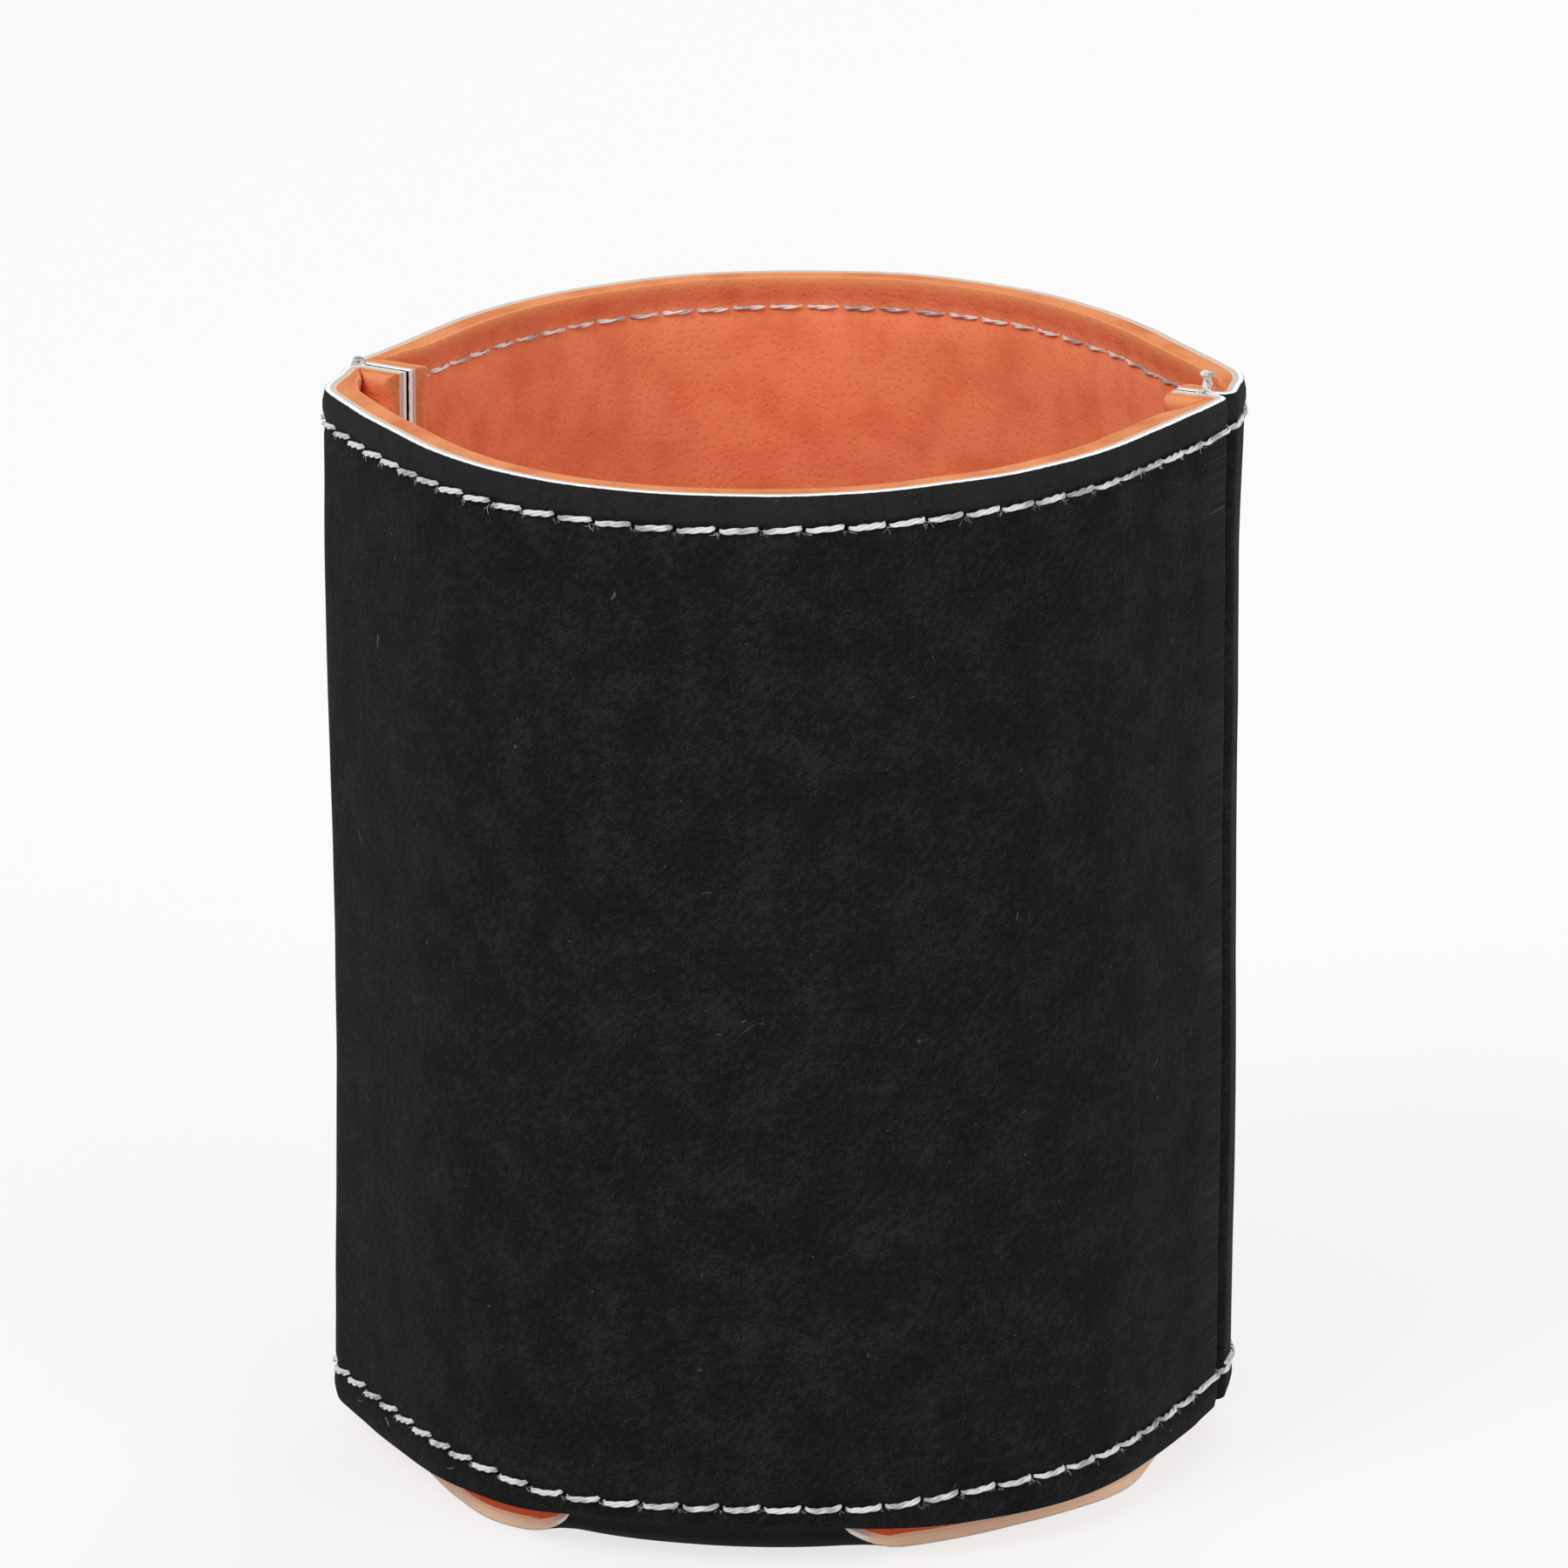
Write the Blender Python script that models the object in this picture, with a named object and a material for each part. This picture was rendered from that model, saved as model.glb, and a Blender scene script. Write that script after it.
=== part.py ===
"""Leatherette beverage holder, in metres, +Z up.

One die-cut sheet of leatherette on foam makes the whole body: front panel, narrow neck, round base,
narrow neck and back panel. The sheet folds under the base at the necks, and the two panels are sewn
face to face along both sides and turned, so that their seam allowances point into the pocket.
The origin is the middle of the base's underside, and the front panel faces -Y.
"""

import math

import bmesh
import bpy
from mathutils import Vector

# Driving dimensions of the sheet and the pocket
HEIGHT = 0.0959
LEATHER = 0.0010
FOAM = 0.00175
LAYER_GAP = 0.0002
POCKET_RADIUS = 0.0328
BASE_LAP = 0.0012
BASE_EDGE_BAND = 0.0040
HEM_CLEARANCE = 0.0003
FOLD_HEIGHT = 0.0080
FOLD_REACH = 0.0100
NECK_WIDTH = 0.0263
TUCK_SPREAD = 0.0300
WALL_BOW = 0.0002

# How far the outer face stands beyond the tightest part of the pocket: (degrees from +X, metres)
SWELL = (
    (-170.0, 0.0046),
    (-164.0, 0.0037),
    (-158.0, 0.0028),
    (-147.0, 0.0020),
    (-136.0, 0.0023),
    (-121.0, 0.0033),
    (-105.0, 0.0042),
    (-90.0, 0.0042),
    (-75.0, 0.0034),
    (-60.0, 0.0019),
    (-45.0, 0.0009),
    (-30.0, 0.0002),
    (-20.0, 0.0000),
    (-10.0, 0.0007),
    (-3.0, 0.0018),
    (4.0, 0.0025),
    (12.0, 0.0043),
    (17.0, 0.0046),
    (22.0, 0.0040),
    (30.0, 0.0034),
    (38.0, 0.0035),
    (55.0, 0.0056),
    (72.0, 0.0084),
    (90.0, 0.0098),
    (108.0, 0.0091),
    (125.0, 0.0071),
    (145.0, 0.0041),
    (162.0, 0.0027),
    (170.0, 0.0032),
    (176.0, 0.0034),
    (182.0, 0.0038),
)

# Side seams: where they stand, which way their allowances point and how far, and their sizes
RIGHT_SEAM_DEG = 4.5
LEFT_SEAM_DEG = 175.7
RIGHT_ALLOWANCE_DEG = 164.4
LEFT_ALLOWANCE_DEG = -28.0
RIGHT_ALLOWANCE = 0.0048
LEFT_ALLOWANCE = 0.0056
SEAM_GAP = 0.0003
SEAM_TURN = 0.0015
SEAM_LINE = 0.0014

# Stitching
PITCH = 0.00365
THREAD_RADIUS = 0.00031
BOBBIN_RADIUS = 0.00024
NEEDLE_SIDES = 5
BOBBIN_SIDES = 4
PINCH = 0.4
PINCH_REACH = 0.18
THREAD_GAP = 0.0003
TOP_ROW_DROP = 0.0029
BOTTOM_ROW_RISE = 0.00245
ROW_END = 0.0020
SEAM_END = 0.0015

# How finely the curved surfaces are divided
WALL_STEP = 0.0036
NECK_COLUMNS = 8
TIP_REACH = 0.0090
LIFT_REACH_DEG = 11.0
TIP_COLUMNS = 3
SIDE_COLUMNS = 11
TURN_STEPS = 3
OUTLINE_STEP_DEG = 0.5
TANGENT_STEP = 0.0009
MERGE = 1e-7
SHARP_EDGE_DEG = 40.0

# Sizes that follow
STACK = LEATHER + LAYER_GAP + FOAM
FOAM_DEPTH = LEATHER + LAYER_GAP
HEM_Z = STACK + HEM_CLEARANCE
BASE_RADIUS = POCKET_RADIUS + BASE_LAP
FLAT_RADIUS = BASE_RADIUS - BASE_EDGE_BAND
TURN_ROOM = SEAM_TURN + STACK + SEAM_GAP
TIP_ANGLE = math.acos(1.0 - HEM_Z / FOLD_HEIGHT)
ABOVE_TIP_ANGLE = (TIP_ANGLE + math.pi / 2) / 2
BELOW_TIP_ANGLE = TIP_ANGLE / 2
ABOVE_HEM_Z = FOLD_HEIGHT * (1.0 - math.cos(ABOVE_TIP_ANGLE))
WALL_LEVELS = (HEM_Z, ABOVE_HEM_Z, FOLD_HEIGHT, (FOLD_HEIGHT + HEIGHT) / 2, HEIGHT)


def clear_scene():
    for old in list(bpy.data.objects):
        bpy.data.objects.remove(old, do_unlink=True)


def make_material(name, colour, roughness):
    material = bpy.data.materials.new(name)
    material.use_nodes = True
    shader = material.node_tree.nodes["Principled BSDF"]
    shader.inputs["Base Color"].default_value = (*colour, 1.0)
    shader.inputs["Roughness"].default_value = roughness
    shader.inputs["Metallic"].default_value = 0.0
    return material


def add_object(name, bm, material):
    bmesh.ops.recalc_face_normals(bm, faces=bm.faces)
    mesh = bpy.data.meshes.new(name)
    bm.to_mesh(mesh)
    bm.free()
    mesh.shade_smooth()
    mesh.set_sharp_from_angle(angle=math.radians(SHARP_EDGE_DEG))
    mesh.materials.append(material)
    bpy.context.scene.collection.objects.link(bpy.data.objects.new(name, mesh))


# The plan outline of the outer face


def swell_at(degrees):
    """Catmull-Rom through SWELL, round the full turn."""
    count = len(SWELL)
    angle = (degrees - SWELL[0][0]) % 360.0 + SWELL[0][0]
    first = max(i for i in range(count) if SWELL[i][0] <= angle)
    ring = []
    for i in range(first - 1, first + 3):
        ring.append((SWELL[i % count][0] + 360.0 * (i // count), SWELL[i % count][1]))
    (a0, r0), (a1, r1), (a2, r2), (a3, r3) = ring
    span = a2 - a1
    t = (angle - a1) / span
    slope1 = (r2 - r0) / (a2 - a0) * span
    slope2 = (r3 - r1) / (a3 - a1) * span
    rise = r1 * (2 * t**3 - 3 * t**2 + 1) + r2 * (3 * t**2 - 2 * t**3)
    return rise + slope1 * (t**3 - 2 * t**2 + t) + slope2 * (t**3 - t**2)


def direction(degrees):
    return Vector((math.cos(math.radians(degrees)), math.sin(math.radians(degrees))))


def outline_point(degrees):
    return direction(degrees) * (POCKET_RADIUS + STACK + swell_at(degrees))


def left_of(vector):
    """The plan vector turned a quarter turn counterclockwise: inwards on a counterclockwise path."""
    return Vector((-vector.y, vector.x))


class Seam:
    """A side seam: its place round the outline, and its allowances' direction and length."""

    def __init__(self, degrees, aim_degrees, allowance):
        self.degrees = degrees
        self.aim = direction(aim_degrees)
        self.allowance = allowance


class Panel:
    """One panel's outer face in plan, followed counterclockwise from seam to seam."""

    def __init__(self, start, end):
        start_deg = start.degrees
        end_deg = end.degrees if end.degrees > start_deg else end.degrees + 360.0
        steps = round((end_deg - start_deg) / OUTLINE_STEP_DEG)
        turn = (end_deg - start_deg) / steps
        self.points = [outline_point(start_deg + turn * i) for i in range(steps + 1)]
        self.lengths = [0.0]
        for a, b in zip(self.points, self.points[1:]):
            self.lengths.append(self.lengths[-1] + (b - a).length)
        self.length = self.lengths[-1]
        self.first = TURN_ROOM
        self.last = self.length - TURN_ROOM
        self.middle = self.length / 2
        self.start_corner = Corner(self, self.first, self.points[0], start, -1)
        self.end_corner = Corner(self, self.last, self.points[-1], end, 1)

    def on_outline(self, s):
        i = 0
        while i < len(self.lengths) - 2 and self.lengths[i + 1] < s:
            i += 1
        a, b = self.points[i], self.points[i + 1]
        return a.lerp(b, (s - self.lengths[i]) / (self.lengths[i + 1] - self.lengths[i]))

    def frame(self, s):
        """The outer face's point and the direction along it. Next to a seam the face runs straight."""
        inside = min(max(s, self.first), self.last)
        ahead = self.on_outline(inside + TANGENT_STEP)
        along = (ahead - self.on_outline(inside - TANGENT_STEP)).normalized()
        return self.on_outline(inside) + along * (s - inside), along

    def curl(self, s):
        """1 across the neck, falling to 0 along the free hem beside it."""
        beyond = abs(s - self.middle) - NECK_WIDTH / 2
        return max(0.0, 1.0 - max(0.0, beyond) / TIP_REACH) ** 2

    def tuck(self, s, share):
        """How far the neck pulls a wide panel in, most at its foot. share is 0 there and 1 at the rim."""
        plan = self.frame(s)[0]
        excess = max(0.0, plan.length - FLAT_RADIUS - FOLD_REACH)
        beyond = max(0.0, abs(s - self.middle) - NECK_WIDTH / 2)
        return excess * math.exp(-((beyond / TUCK_SPREAD) ** 2)) * max(0.0, 1.0 - 2.0 * share)

    def outer(self, s, z):
        """The outer face at height z: bowed in a little at mid height, and drawn in above the fold."""
        plan, along = self.frame(s)
        share = max(0.0, (z - FOLD_HEIGHT) / (HEIGHT - FOLD_HEIGHT))
        plan = plan + left_of(along) * (WALL_BOW * 4.0 * share * (1.0 - share))
        plan = plan - plan.normalized() * self.tuck(s, share)
        if z < FOLD_HEIGHT:
            fold = math.acos(1.0 - z / FOLD_HEIGHT)
            drawn_in = (plan.length - FLAT_RADIUS) * (1.0 - math.sin(fold)) * self.curl(s)
            plan = plan - plan.normalized() * drawn_in
        return Vector((plan.x, plan.y, z))

    def foot(self, s):
        """The outer face in plan where the wall meets the fold."""
        return self.outer(s, FOLD_HEIGHT).to_2d()

    def inward(self, s, z):
        """The unit normal into the sheet."""
        along = self.outer(s + TANGENT_STEP, z) - self.outer(s - TANGENT_STEP, z)
        up = Vector((0.0, 0.0, 1.0))
        if z < FOLD_HEIGHT:
            up = self.outer(s, z + TANGENT_STEP) - self.outer(s, z - TANGENT_STEP)
        return up.cross(along).normalized()

    def columns(self):
        """Distances along the panel: even steps, with one on each edge of the neck."""
        half = NECK_WIDTH / 2
        neck = [self.middle + half * (2 * i / NECK_COLUMNS - 1) for i in range(NECK_COLUMNS + 1)]
        tip = [TIP_REACH * (i + 1) / TIP_COLUMNS for i in range(TIP_COLUMNS)]
        right = [neck[-1] + t for t in tip]
        left = [neck[0] - t for t in reversed(tip)]
        count = max(3, round((self.last - right[-1]) / WALL_STEP))
        right += [right[-1] + (self.last - right[-1]) * (i + 1) / count for i in range(count)]
        left = [self.first + (left[0] - self.first) * i / count for i in range(count)] + left
        return left + neck + right


class Corner:
    """Where a panel turns in at a seam: a rounded outer face and a mitred inner one."""

    def __init__(self, panel, s, point, seam, end):
        self.wall, along = panel.frame(s)
        self.wall_in = left_of(along)
        self.point = point
        self.aim = seam.aim
        self.allowance = seam.allowance
        self.seam_in = left_of(self.aim) * end

    def mitre(self, depth):
        """The point at this depth under both the wall's face and the allowance's face."""
        a, b = self.wall_in, self.seam_in
        first = depth + a.dot(self.wall)
        second = depth + SEAM_GAP / 2 + b.dot(self.point)
        scale = a.x * b.y - a.y * b.x
        return Vector(((first * b.y - second * a.y) / scale, (a.x * second - b.x * first) / scale))

    def turn_point(self, share, depth):
        """share 0 is on the wall's side of the turn, and 1 on the allowance's."""
        if depth >= SEAM_TURN:
            return self.mitre(depth)
        return self.mitre(SEAM_TURN) - self.wall_in.slerp(self.seam_in, share) * (SEAM_TURN - depth)

    def allowance_point(self, reach, depth):
        """reach is measured from the seam towards the pocket."""
        return self.point + self.aim * reach + self.seam_in * (SEAM_GAP / 2 + depth)

    def allowance_reaches(self):
        """Just past the foam's mitre, and the allowance's cut end."""
        start = max((self.mitre(STACK) - self.point).dot(self.aim), SEAM_TURN) + SEAM_GAP
        return start, max(self.allowance, start + FOAM / 2)


# The sheet: each layer is the same net of samples, taken at its own two depths


class Net:
    def __init__(self):
        self.samples = {}
        self.faces = []

    def add(self, key, at_depth):
        self.samples[key] = at_depth

    def quad(self, *keys):
        self.faces.append(keys)


def plan_sample(plan_at, z):
    def at(depth):
        plan = plan_at(depth)
        return Vector((plan.x, plan.y, z))

    return at


def normal_sample(point, inward):
    return lambda depth: point + inward * depth


def add_corner(net, name, corner, keys, level, z):
    """Samples of one turn and allowance, from the wall outwards to the cut end."""
    for i in range(TURN_STEPS + 1):
        share = i / TURN_STEPS
        net.add((name, keys[i], level), plan_sample(lambda d, t=share: corner.turn_point(t, d), z))
    for i, reach in enumerate(corner.allowance_reaches()):
        key = (name, keys[TURN_STEPS + 1 + i], level)
        net.add(key, plan_sample(lambda d, r=reach: corner.allowance_point(r, d), z))


def add_panel(net, name, panel):
    """The upright part of one panel, with both its seam allowances. It returns the neck's columns."""
    columns = panel.columns()
    corner_keys = TURN_STEPS + 3
    total = len(columns) + 2 * corner_keys
    for level, z in enumerate(WALL_LEVELS):
        start_keys = [corner_keys - 1 - i for i in range(corner_keys)]
        end_keys = [corner_keys + len(columns) + i for i in range(corner_keys)]
        add_corner(net, name, panel.start_corner, start_keys, level, z)
        add_corner(net, name, panel.end_corner, end_keys, level, z)
        for i, s in enumerate(columns):
            sample = normal_sample(panel.outer(s, z), panel.inward(s, z))
            net.add((name, corner_keys + i, level), sample)
    for level in range(len(WALL_LEVELS) - 1):
        for i in range(total - 1):
            below = ((name, i, level), (name, i + 1, level))
            net.quad(*below, (name, i + 1, level + 1), (name, i, level + 1))
    edge = corner_keys + columns.index(panel.middle) - NECK_COLUMNS // 2
    return [(edge + i, columns[edge - corner_keys + i]) for i in range(NECK_COLUMNS + 1)]


def fold_sample(plan, fold):
    """A point of the fold under a neck: a quarter of an ellipse from the base up to the wall."""
    out = plan.normalized()
    reach = plan.length - FLAT_RADIUS
    plan = out * (FLAT_RADIUS + reach * math.sin(fold))
    inward = Vector((0.0, 0.0, reach * math.cos(fold)))
    inward -= Vector((out.x, out.y, 0.0)) * FOLD_HEIGHT * math.sin(fold)
    point = Vector((plan.x, plan.y, FOLD_HEIGHT * (1.0 - math.cos(fold))))
    return normal_sample(point, inward.normalized())


def add_neck(net, name, panel, edge_columns):
    """The neck from the hem's level down to the flat base."""
    for index, s in edge_columns:
        plan = panel.foot(s)
        net.add((name, index, "fold"), fold_sample(plan, BELOW_TIP_ANGLE))
        net.add((name, index, "flat"), fold_sample(plan, 0.0))
    for (index, _), (after, _) in zip(edge_columns, edge_columns[1:]):
        net.quad((name, index, "fold"), (name, after, "fold"), (name, after, 0), (name, index, 0))
        net.quad((name, index, "flat"), (name, after, "flat"), (name, after, "fold"), (name, index, "fold"))


def edge_sample(degrees, tip_plan, lift, fold):
    """The base's free edge band: flat, but lifted towards the fold's shape next to a neck."""
    folded = fold_sample(direction(degrees) * tip_plan.length, fold)
    out = direction(degrees) * (FLAT_RADIUS + BASE_EDGE_BAND * fold / TIP_ANGLE)
    flat = Vector((out.x, out.y, 0.0))
    point = flat.lerp(folded(0.0), lift)
    raised = (flat + Vector((0.0, 0.0, STACK))).lerp(folded(STACK), lift)
    return normal_sample(point, (raised - point).normalized())


def add_base_side(net, name, start, end, start_plan, end_plan):
    """The base between two necks, counterclockwise. start and end are keys of the necks' last columns."""
    first = math.degrees(math.atan2(start_plan.y, start_plan.x))
    span = (math.degrees(math.atan2(end_plan.y, end_plan.x)) - first) % 360.0
    near = [LIFT_REACH_DEG * (i + 1) / TIP_COLUMNS for i in range(TIP_COLUMNS)]
    inner = span - 2 * LIFT_REACH_DEG
    angles = near + [LIFT_REACH_DEG + inner * (i + 1) / SIDE_COLUMNS for i in range(SIDE_COLUMNS - 1)]
    angles += [span - a for a in reversed(near)]
    keys = [start]
    for i, angle in enumerate(angles):
        tip_plan = start_plan if angle < span / 2 else end_plan
        beyond = min(angle, span - angle)
        lift = max(0.0, 1.0 - beyond / LIFT_REACH_DEG) ** 2
        for ring, fold in ((0, TIP_ANGLE), ("fold", BELOW_TIP_ANGLE), ("flat", 0.0)):
            net.add((name, i, ring), edge_sample(first + angle, tip_plan, lift, fold))
        keys.append((name, i))
    keys.append(end)
    for a, b in zip(keys, keys[1:]):
        net.quad((*a, "fold"), (*b, "fold"), (*b, 0), (*a, 0))
        net.quad((*a, "flat"), (*b, "flat"), (*b, "fold"), (*a, "fold"))
    return keys


def sheet_net(front, back):
    net = Net()
    front_neck = add_panel(net, "front", front)
    back_neck = add_panel(net, "back", back)
    add_neck(net, "front", front, front_neck)
    add_neck(net, "back", back, back_neck)
    ends = {}
    for name, panel, neck in (("front", front, front_neck), ("back", back, back_neck)):
        ends[name] = [((name, index), panel.foot(s)) for index, s in (neck[0], neck[-1])]
    front_start, front_end = ends["front"]
    back_start, back_end = ends["back"]
    right = add_base_side(net, "right", front_end[0], back_start[0], front_end[1], back_start[1])
    left = add_base_side(net, "left", back_end[0], front_start[0], back_end[1], front_start[1])
    ring = [("front", index) for index, _ in front_neck[:-1]] + right[:-1]
    ring += [("back", index) for index, _ in back_neck[:-1]] + left[:-1]
    net.quad(*[(*key, "flat") for key in reversed(ring)])
    return net


def make_layer(name, net, outer_depth, inner_depth, material):
    """One layer as a closed solid: both faces of the net, and a strip round its cut edges."""
    bm = bmesh.new()
    outer = {key: bm.verts.new(at(outer_depth)) for key, at in net.samples.items()}
    inner = {key: bm.verts.new(at(inner_depth)) for key, at in net.samples.items()}
    used = set()
    for face in net.faces:
        halves = (face[:3], (face[0], *face[2:])) if len(face) == 4 else (face,)
        for half in halves:
            bm.faces.new([outer[key] for key in half])
            bm.faces.new([inner[key] for key in reversed(half)])
        used.update(zip(face, face[1:] + face[:1]))
    for a, b in sorted(used, key=str):
        if (b, a) not in used:
            bm.faces.new([outer[b], outer[a], inner[a], inner[b]])
    bmesh.ops.remove_doubles(bm, verts=bm.verts, dist=MERGE)
    add_object(name, bm, material)


# Stitching: each thread is one tube that swells at a stitch and is drawn thin at each needle hole


def make_thread(name, spots, radius, sides, material):
    """spots are (point on the surface, unit normal off it, share of the radius)."""
    bm = bmesh.new()
    rings = []
    for i, (point, off, share) in enumerate(spots):
        along = (spots[min(i + 1, len(spots) - 1)][0] - spots[max(i - 1, 0)][0]).normalized()
        across = off.cross(along).normalized()
        centre = point + off * (THREAD_GAP + radius * share)
        ring = []
        for k in range(sides):
            turn = math.tau * (k + 0.5) / sides
            spoke = off * math.cos(turn) + across * math.sin(turn)
            ring.append(bm.verts.new(centre + spoke * radius * share))
        rings.append(ring)
    for a, b in zip(rings, rings[1:]):
        for k in range(sides):
            n = (k + 1) % sides
            bm.faces.new((a[k], b[k], b[n], a[n]))
    bm.faces.new(rings[0])
    bm.faces.new(reversed(rings[-1]))
    add_object(name, bm, material)


def stitch_shares(start, end, full_at):
    """Places from start to end and the thread's share of its radius there, hole by hole."""
    count = max(2, round((end - start) / PITCH))
    pitch = (end - start) / count
    places = []
    for i in range(count):
        places.append((start + i * pitch, PINCH))
        places += [(start + (i + reach) * pitch, 1.0) for reach in full_at]
    return places + [(end, PINCH)]


def make_hem_threads(panel_name, panel, material):
    """A needle thread outside and a bobbin thread inside, along both hems of a panel."""
    for row, z in (("top", HEIGHT - TOP_ROW_DROP), ("bottom", HEM_Z + BOTTOM_ROW_RISE)):
        outside, inside = [], []
        ends = (panel.first - ROW_END, panel.last + ROW_END)
        for s, share in stitch_shares(*ends, (PINCH_REACH, 1.0 - PINCH_REACH)):
            outside.append((panel.outer(s, z), -panel.inward(s, z), share))
        for s, share in stitch_shares(panel.first, panel.last, (0.5,)):
            inward = panel.inward(s, z)
            inside.append((panel.outer(s, z) + inward * STACK, inward, share))
        make_thread(f"{row}_stitching_{panel_name}", outside, THREAD_RADIUS, NEEDLE_SIDES, material)
        make_thread(f"{row}_bobbin_thread_{panel_name}", inside, BOBBIN_RADIUS, BOBBIN_SIDES, material)


def make_seam_threads(side, front_corner, back_corner, material):
    """The side seam's two threads, on the foam faces of the two allowances."""
    for name, corner in (("front", front_corner), ("back", back_corner)):
        plan = corner.mitre(STACK) + corner.aim * SEAM_LINE
        off = corner.seam_in.to_3d()
        spots = []
        for z, share in stitch_shares(HEM_Z + SEAM_END, HEIGHT - SEAM_END, (0.5,)):
            spots.append((Vector((plan.x, plan.y, z)), off, share))
        make_thread(f"{side}_seam_thread_{name}", spots, BOBBIN_RADIUS, BOBBIN_SIDES, material)


def main():
    clear_scene()
    leatherette = make_material("leatherette_black", (0.0115, 0.0115, 0.0120), 0.72)
    foam = make_material("foam_orange", (0.72, 0.19, 0.07), 0.9)
    thread = make_material("thread_light_grey", (0.62, 0.61, 0.60), 0.65)

    right = Seam(RIGHT_SEAM_DEG, RIGHT_ALLOWANCE_DEG, RIGHT_ALLOWANCE)
    left = Seam(LEFT_SEAM_DEG, LEFT_ALLOWANCE_DEG, LEFT_ALLOWANCE)
    front = Panel(left, right)
    back = Panel(right, left)
    net = sheet_net(front, back)
    make_layer("leatherette_cover", net, 0.0, LEATHER, leatherette)
    make_layer("foam_liner", net, FOAM_DEPTH, STACK, foam)
    make_hem_threads("front", front, thread)
    make_hem_threads("back", back, thread)
    make_seam_threads("right", front.end_corner, back.start_corner, thread)
    make_seam_threads("left", front.start_corner, back.end_corner, thread)


main()
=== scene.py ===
"""Looks of the leatherette beverage holder, in metres, +Z up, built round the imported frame.

The sheet is rebuilt much finer than its solids: its two layers with grooves along the stitching and
soft waves in the walls, rounded cut edges, and every stitch as its own short length of twisted thread.
"""

import bisect
import math
import random

import bmesh
import bpy
from mathutils import Matrix, Vector, noise

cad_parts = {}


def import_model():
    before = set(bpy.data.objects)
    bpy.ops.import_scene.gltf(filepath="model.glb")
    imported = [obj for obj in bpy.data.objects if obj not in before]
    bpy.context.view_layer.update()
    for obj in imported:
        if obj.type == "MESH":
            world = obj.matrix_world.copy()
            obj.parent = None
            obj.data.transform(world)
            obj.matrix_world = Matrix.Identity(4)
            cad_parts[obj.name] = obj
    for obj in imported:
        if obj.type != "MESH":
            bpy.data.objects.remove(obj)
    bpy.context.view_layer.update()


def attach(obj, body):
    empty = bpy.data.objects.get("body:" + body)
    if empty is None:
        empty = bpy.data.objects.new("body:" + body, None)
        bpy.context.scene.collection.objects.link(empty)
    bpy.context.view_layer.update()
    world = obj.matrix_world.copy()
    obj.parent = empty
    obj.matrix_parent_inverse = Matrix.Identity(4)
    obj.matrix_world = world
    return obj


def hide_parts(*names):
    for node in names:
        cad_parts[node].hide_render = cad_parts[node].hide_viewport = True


# The sheet and the pocket, as in the part's source
HEIGHT = 0.0959
LEATHER = 0.0010
FOAM = 0.00175
LAYER_GAP = 0.0002
POCKET_RADIUS = 0.0328
BASE_LAP = 0.0012
BASE_EDGE_BAND = 0.0040
HEM_CLEARANCE = 0.0003
FOLD_HEIGHT = 0.0080
FOLD_REACH = 0.0100
NECK_WIDTH = 0.0263
TUCK_SPREAD = 0.0300
TIP_REACH = 0.0090
LIFT_REACH_DEG = 11.0

# How far the outer face stands beyond the tightest part of the pocket: (degrees from +X, metres)
SWELL = (
    (-170.0, 0.0046),
    (-164.0, 0.0037),
    (-158.0, 0.0028),
    (-147.0, 0.0020),
    (-136.0, 0.0023),
    (-121.0, 0.0033),
    (-105.0, 0.0042),
    (-90.0, 0.0042),
    (-75.0, 0.0034),
    (-60.0, 0.0019),
    (-45.0, 0.0009),
    (-30.0, 0.0002),
    (-20.0, 0.0000),
    (-10.0, 0.0007),
    (-3.0, 0.0018),
    (4.0, 0.0025),
    (12.0, 0.0043),
    (17.0, 0.0046),
    (22.0, 0.0040),
    (30.0, 0.0034),
    (38.0, 0.0035),
    (55.0, 0.0056),
    (72.0, 0.0084),
    (90.0, 0.0098),
    (108.0, 0.0091),
    (125.0, 0.0071),
    (145.0, 0.0041),
    (162.0, 0.0027),
    (170.0, 0.0032),
    (176.0, 0.0034),
    (182.0, 0.0038),
)

# How far the walls stand out from the rim's outline: (degrees from +X, metres at each of the LEAN_HEIGHTS)
LEAN = (
    (-172.0, 0.0, 0.0000, -0.0005, 0.0000),
    (-160.0, 0.0, -0.0001, -0.0006, -0.0005),
    (-136.0, 0.0, -0.0002, -0.0004, -0.0004),
    (-115.0, 0.0, -0.0003, -0.0004, 0.0001),
    (-90.0, 0.0, -0.0002, -0.0003, -0.0010),
    (-57.0, 0.0, 0.0000, -0.0001, -0.0001),
    (-40.0, 0.0, 0.0002, 0.0003, 0.0008),
    (-25.0, 0.0, 0.0002, 0.0004, 0.0007),
    (-12.0, 0.0, 0.0000, 0.0001, 0.0002),
    (2.0, 0.0, -0.0001, 0.0000, -0.0001),
    (14.0, 0.0, -0.0004, -0.0002, -0.0003),
    (40.0, 0.0, -0.0002, -0.0002, -0.0004),
    (90.0, 0.0, -0.0002, -0.0001, 0.0000),
    (150.0, 0.0, -0.0001, -0.0002, -0.0003),
)

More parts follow.
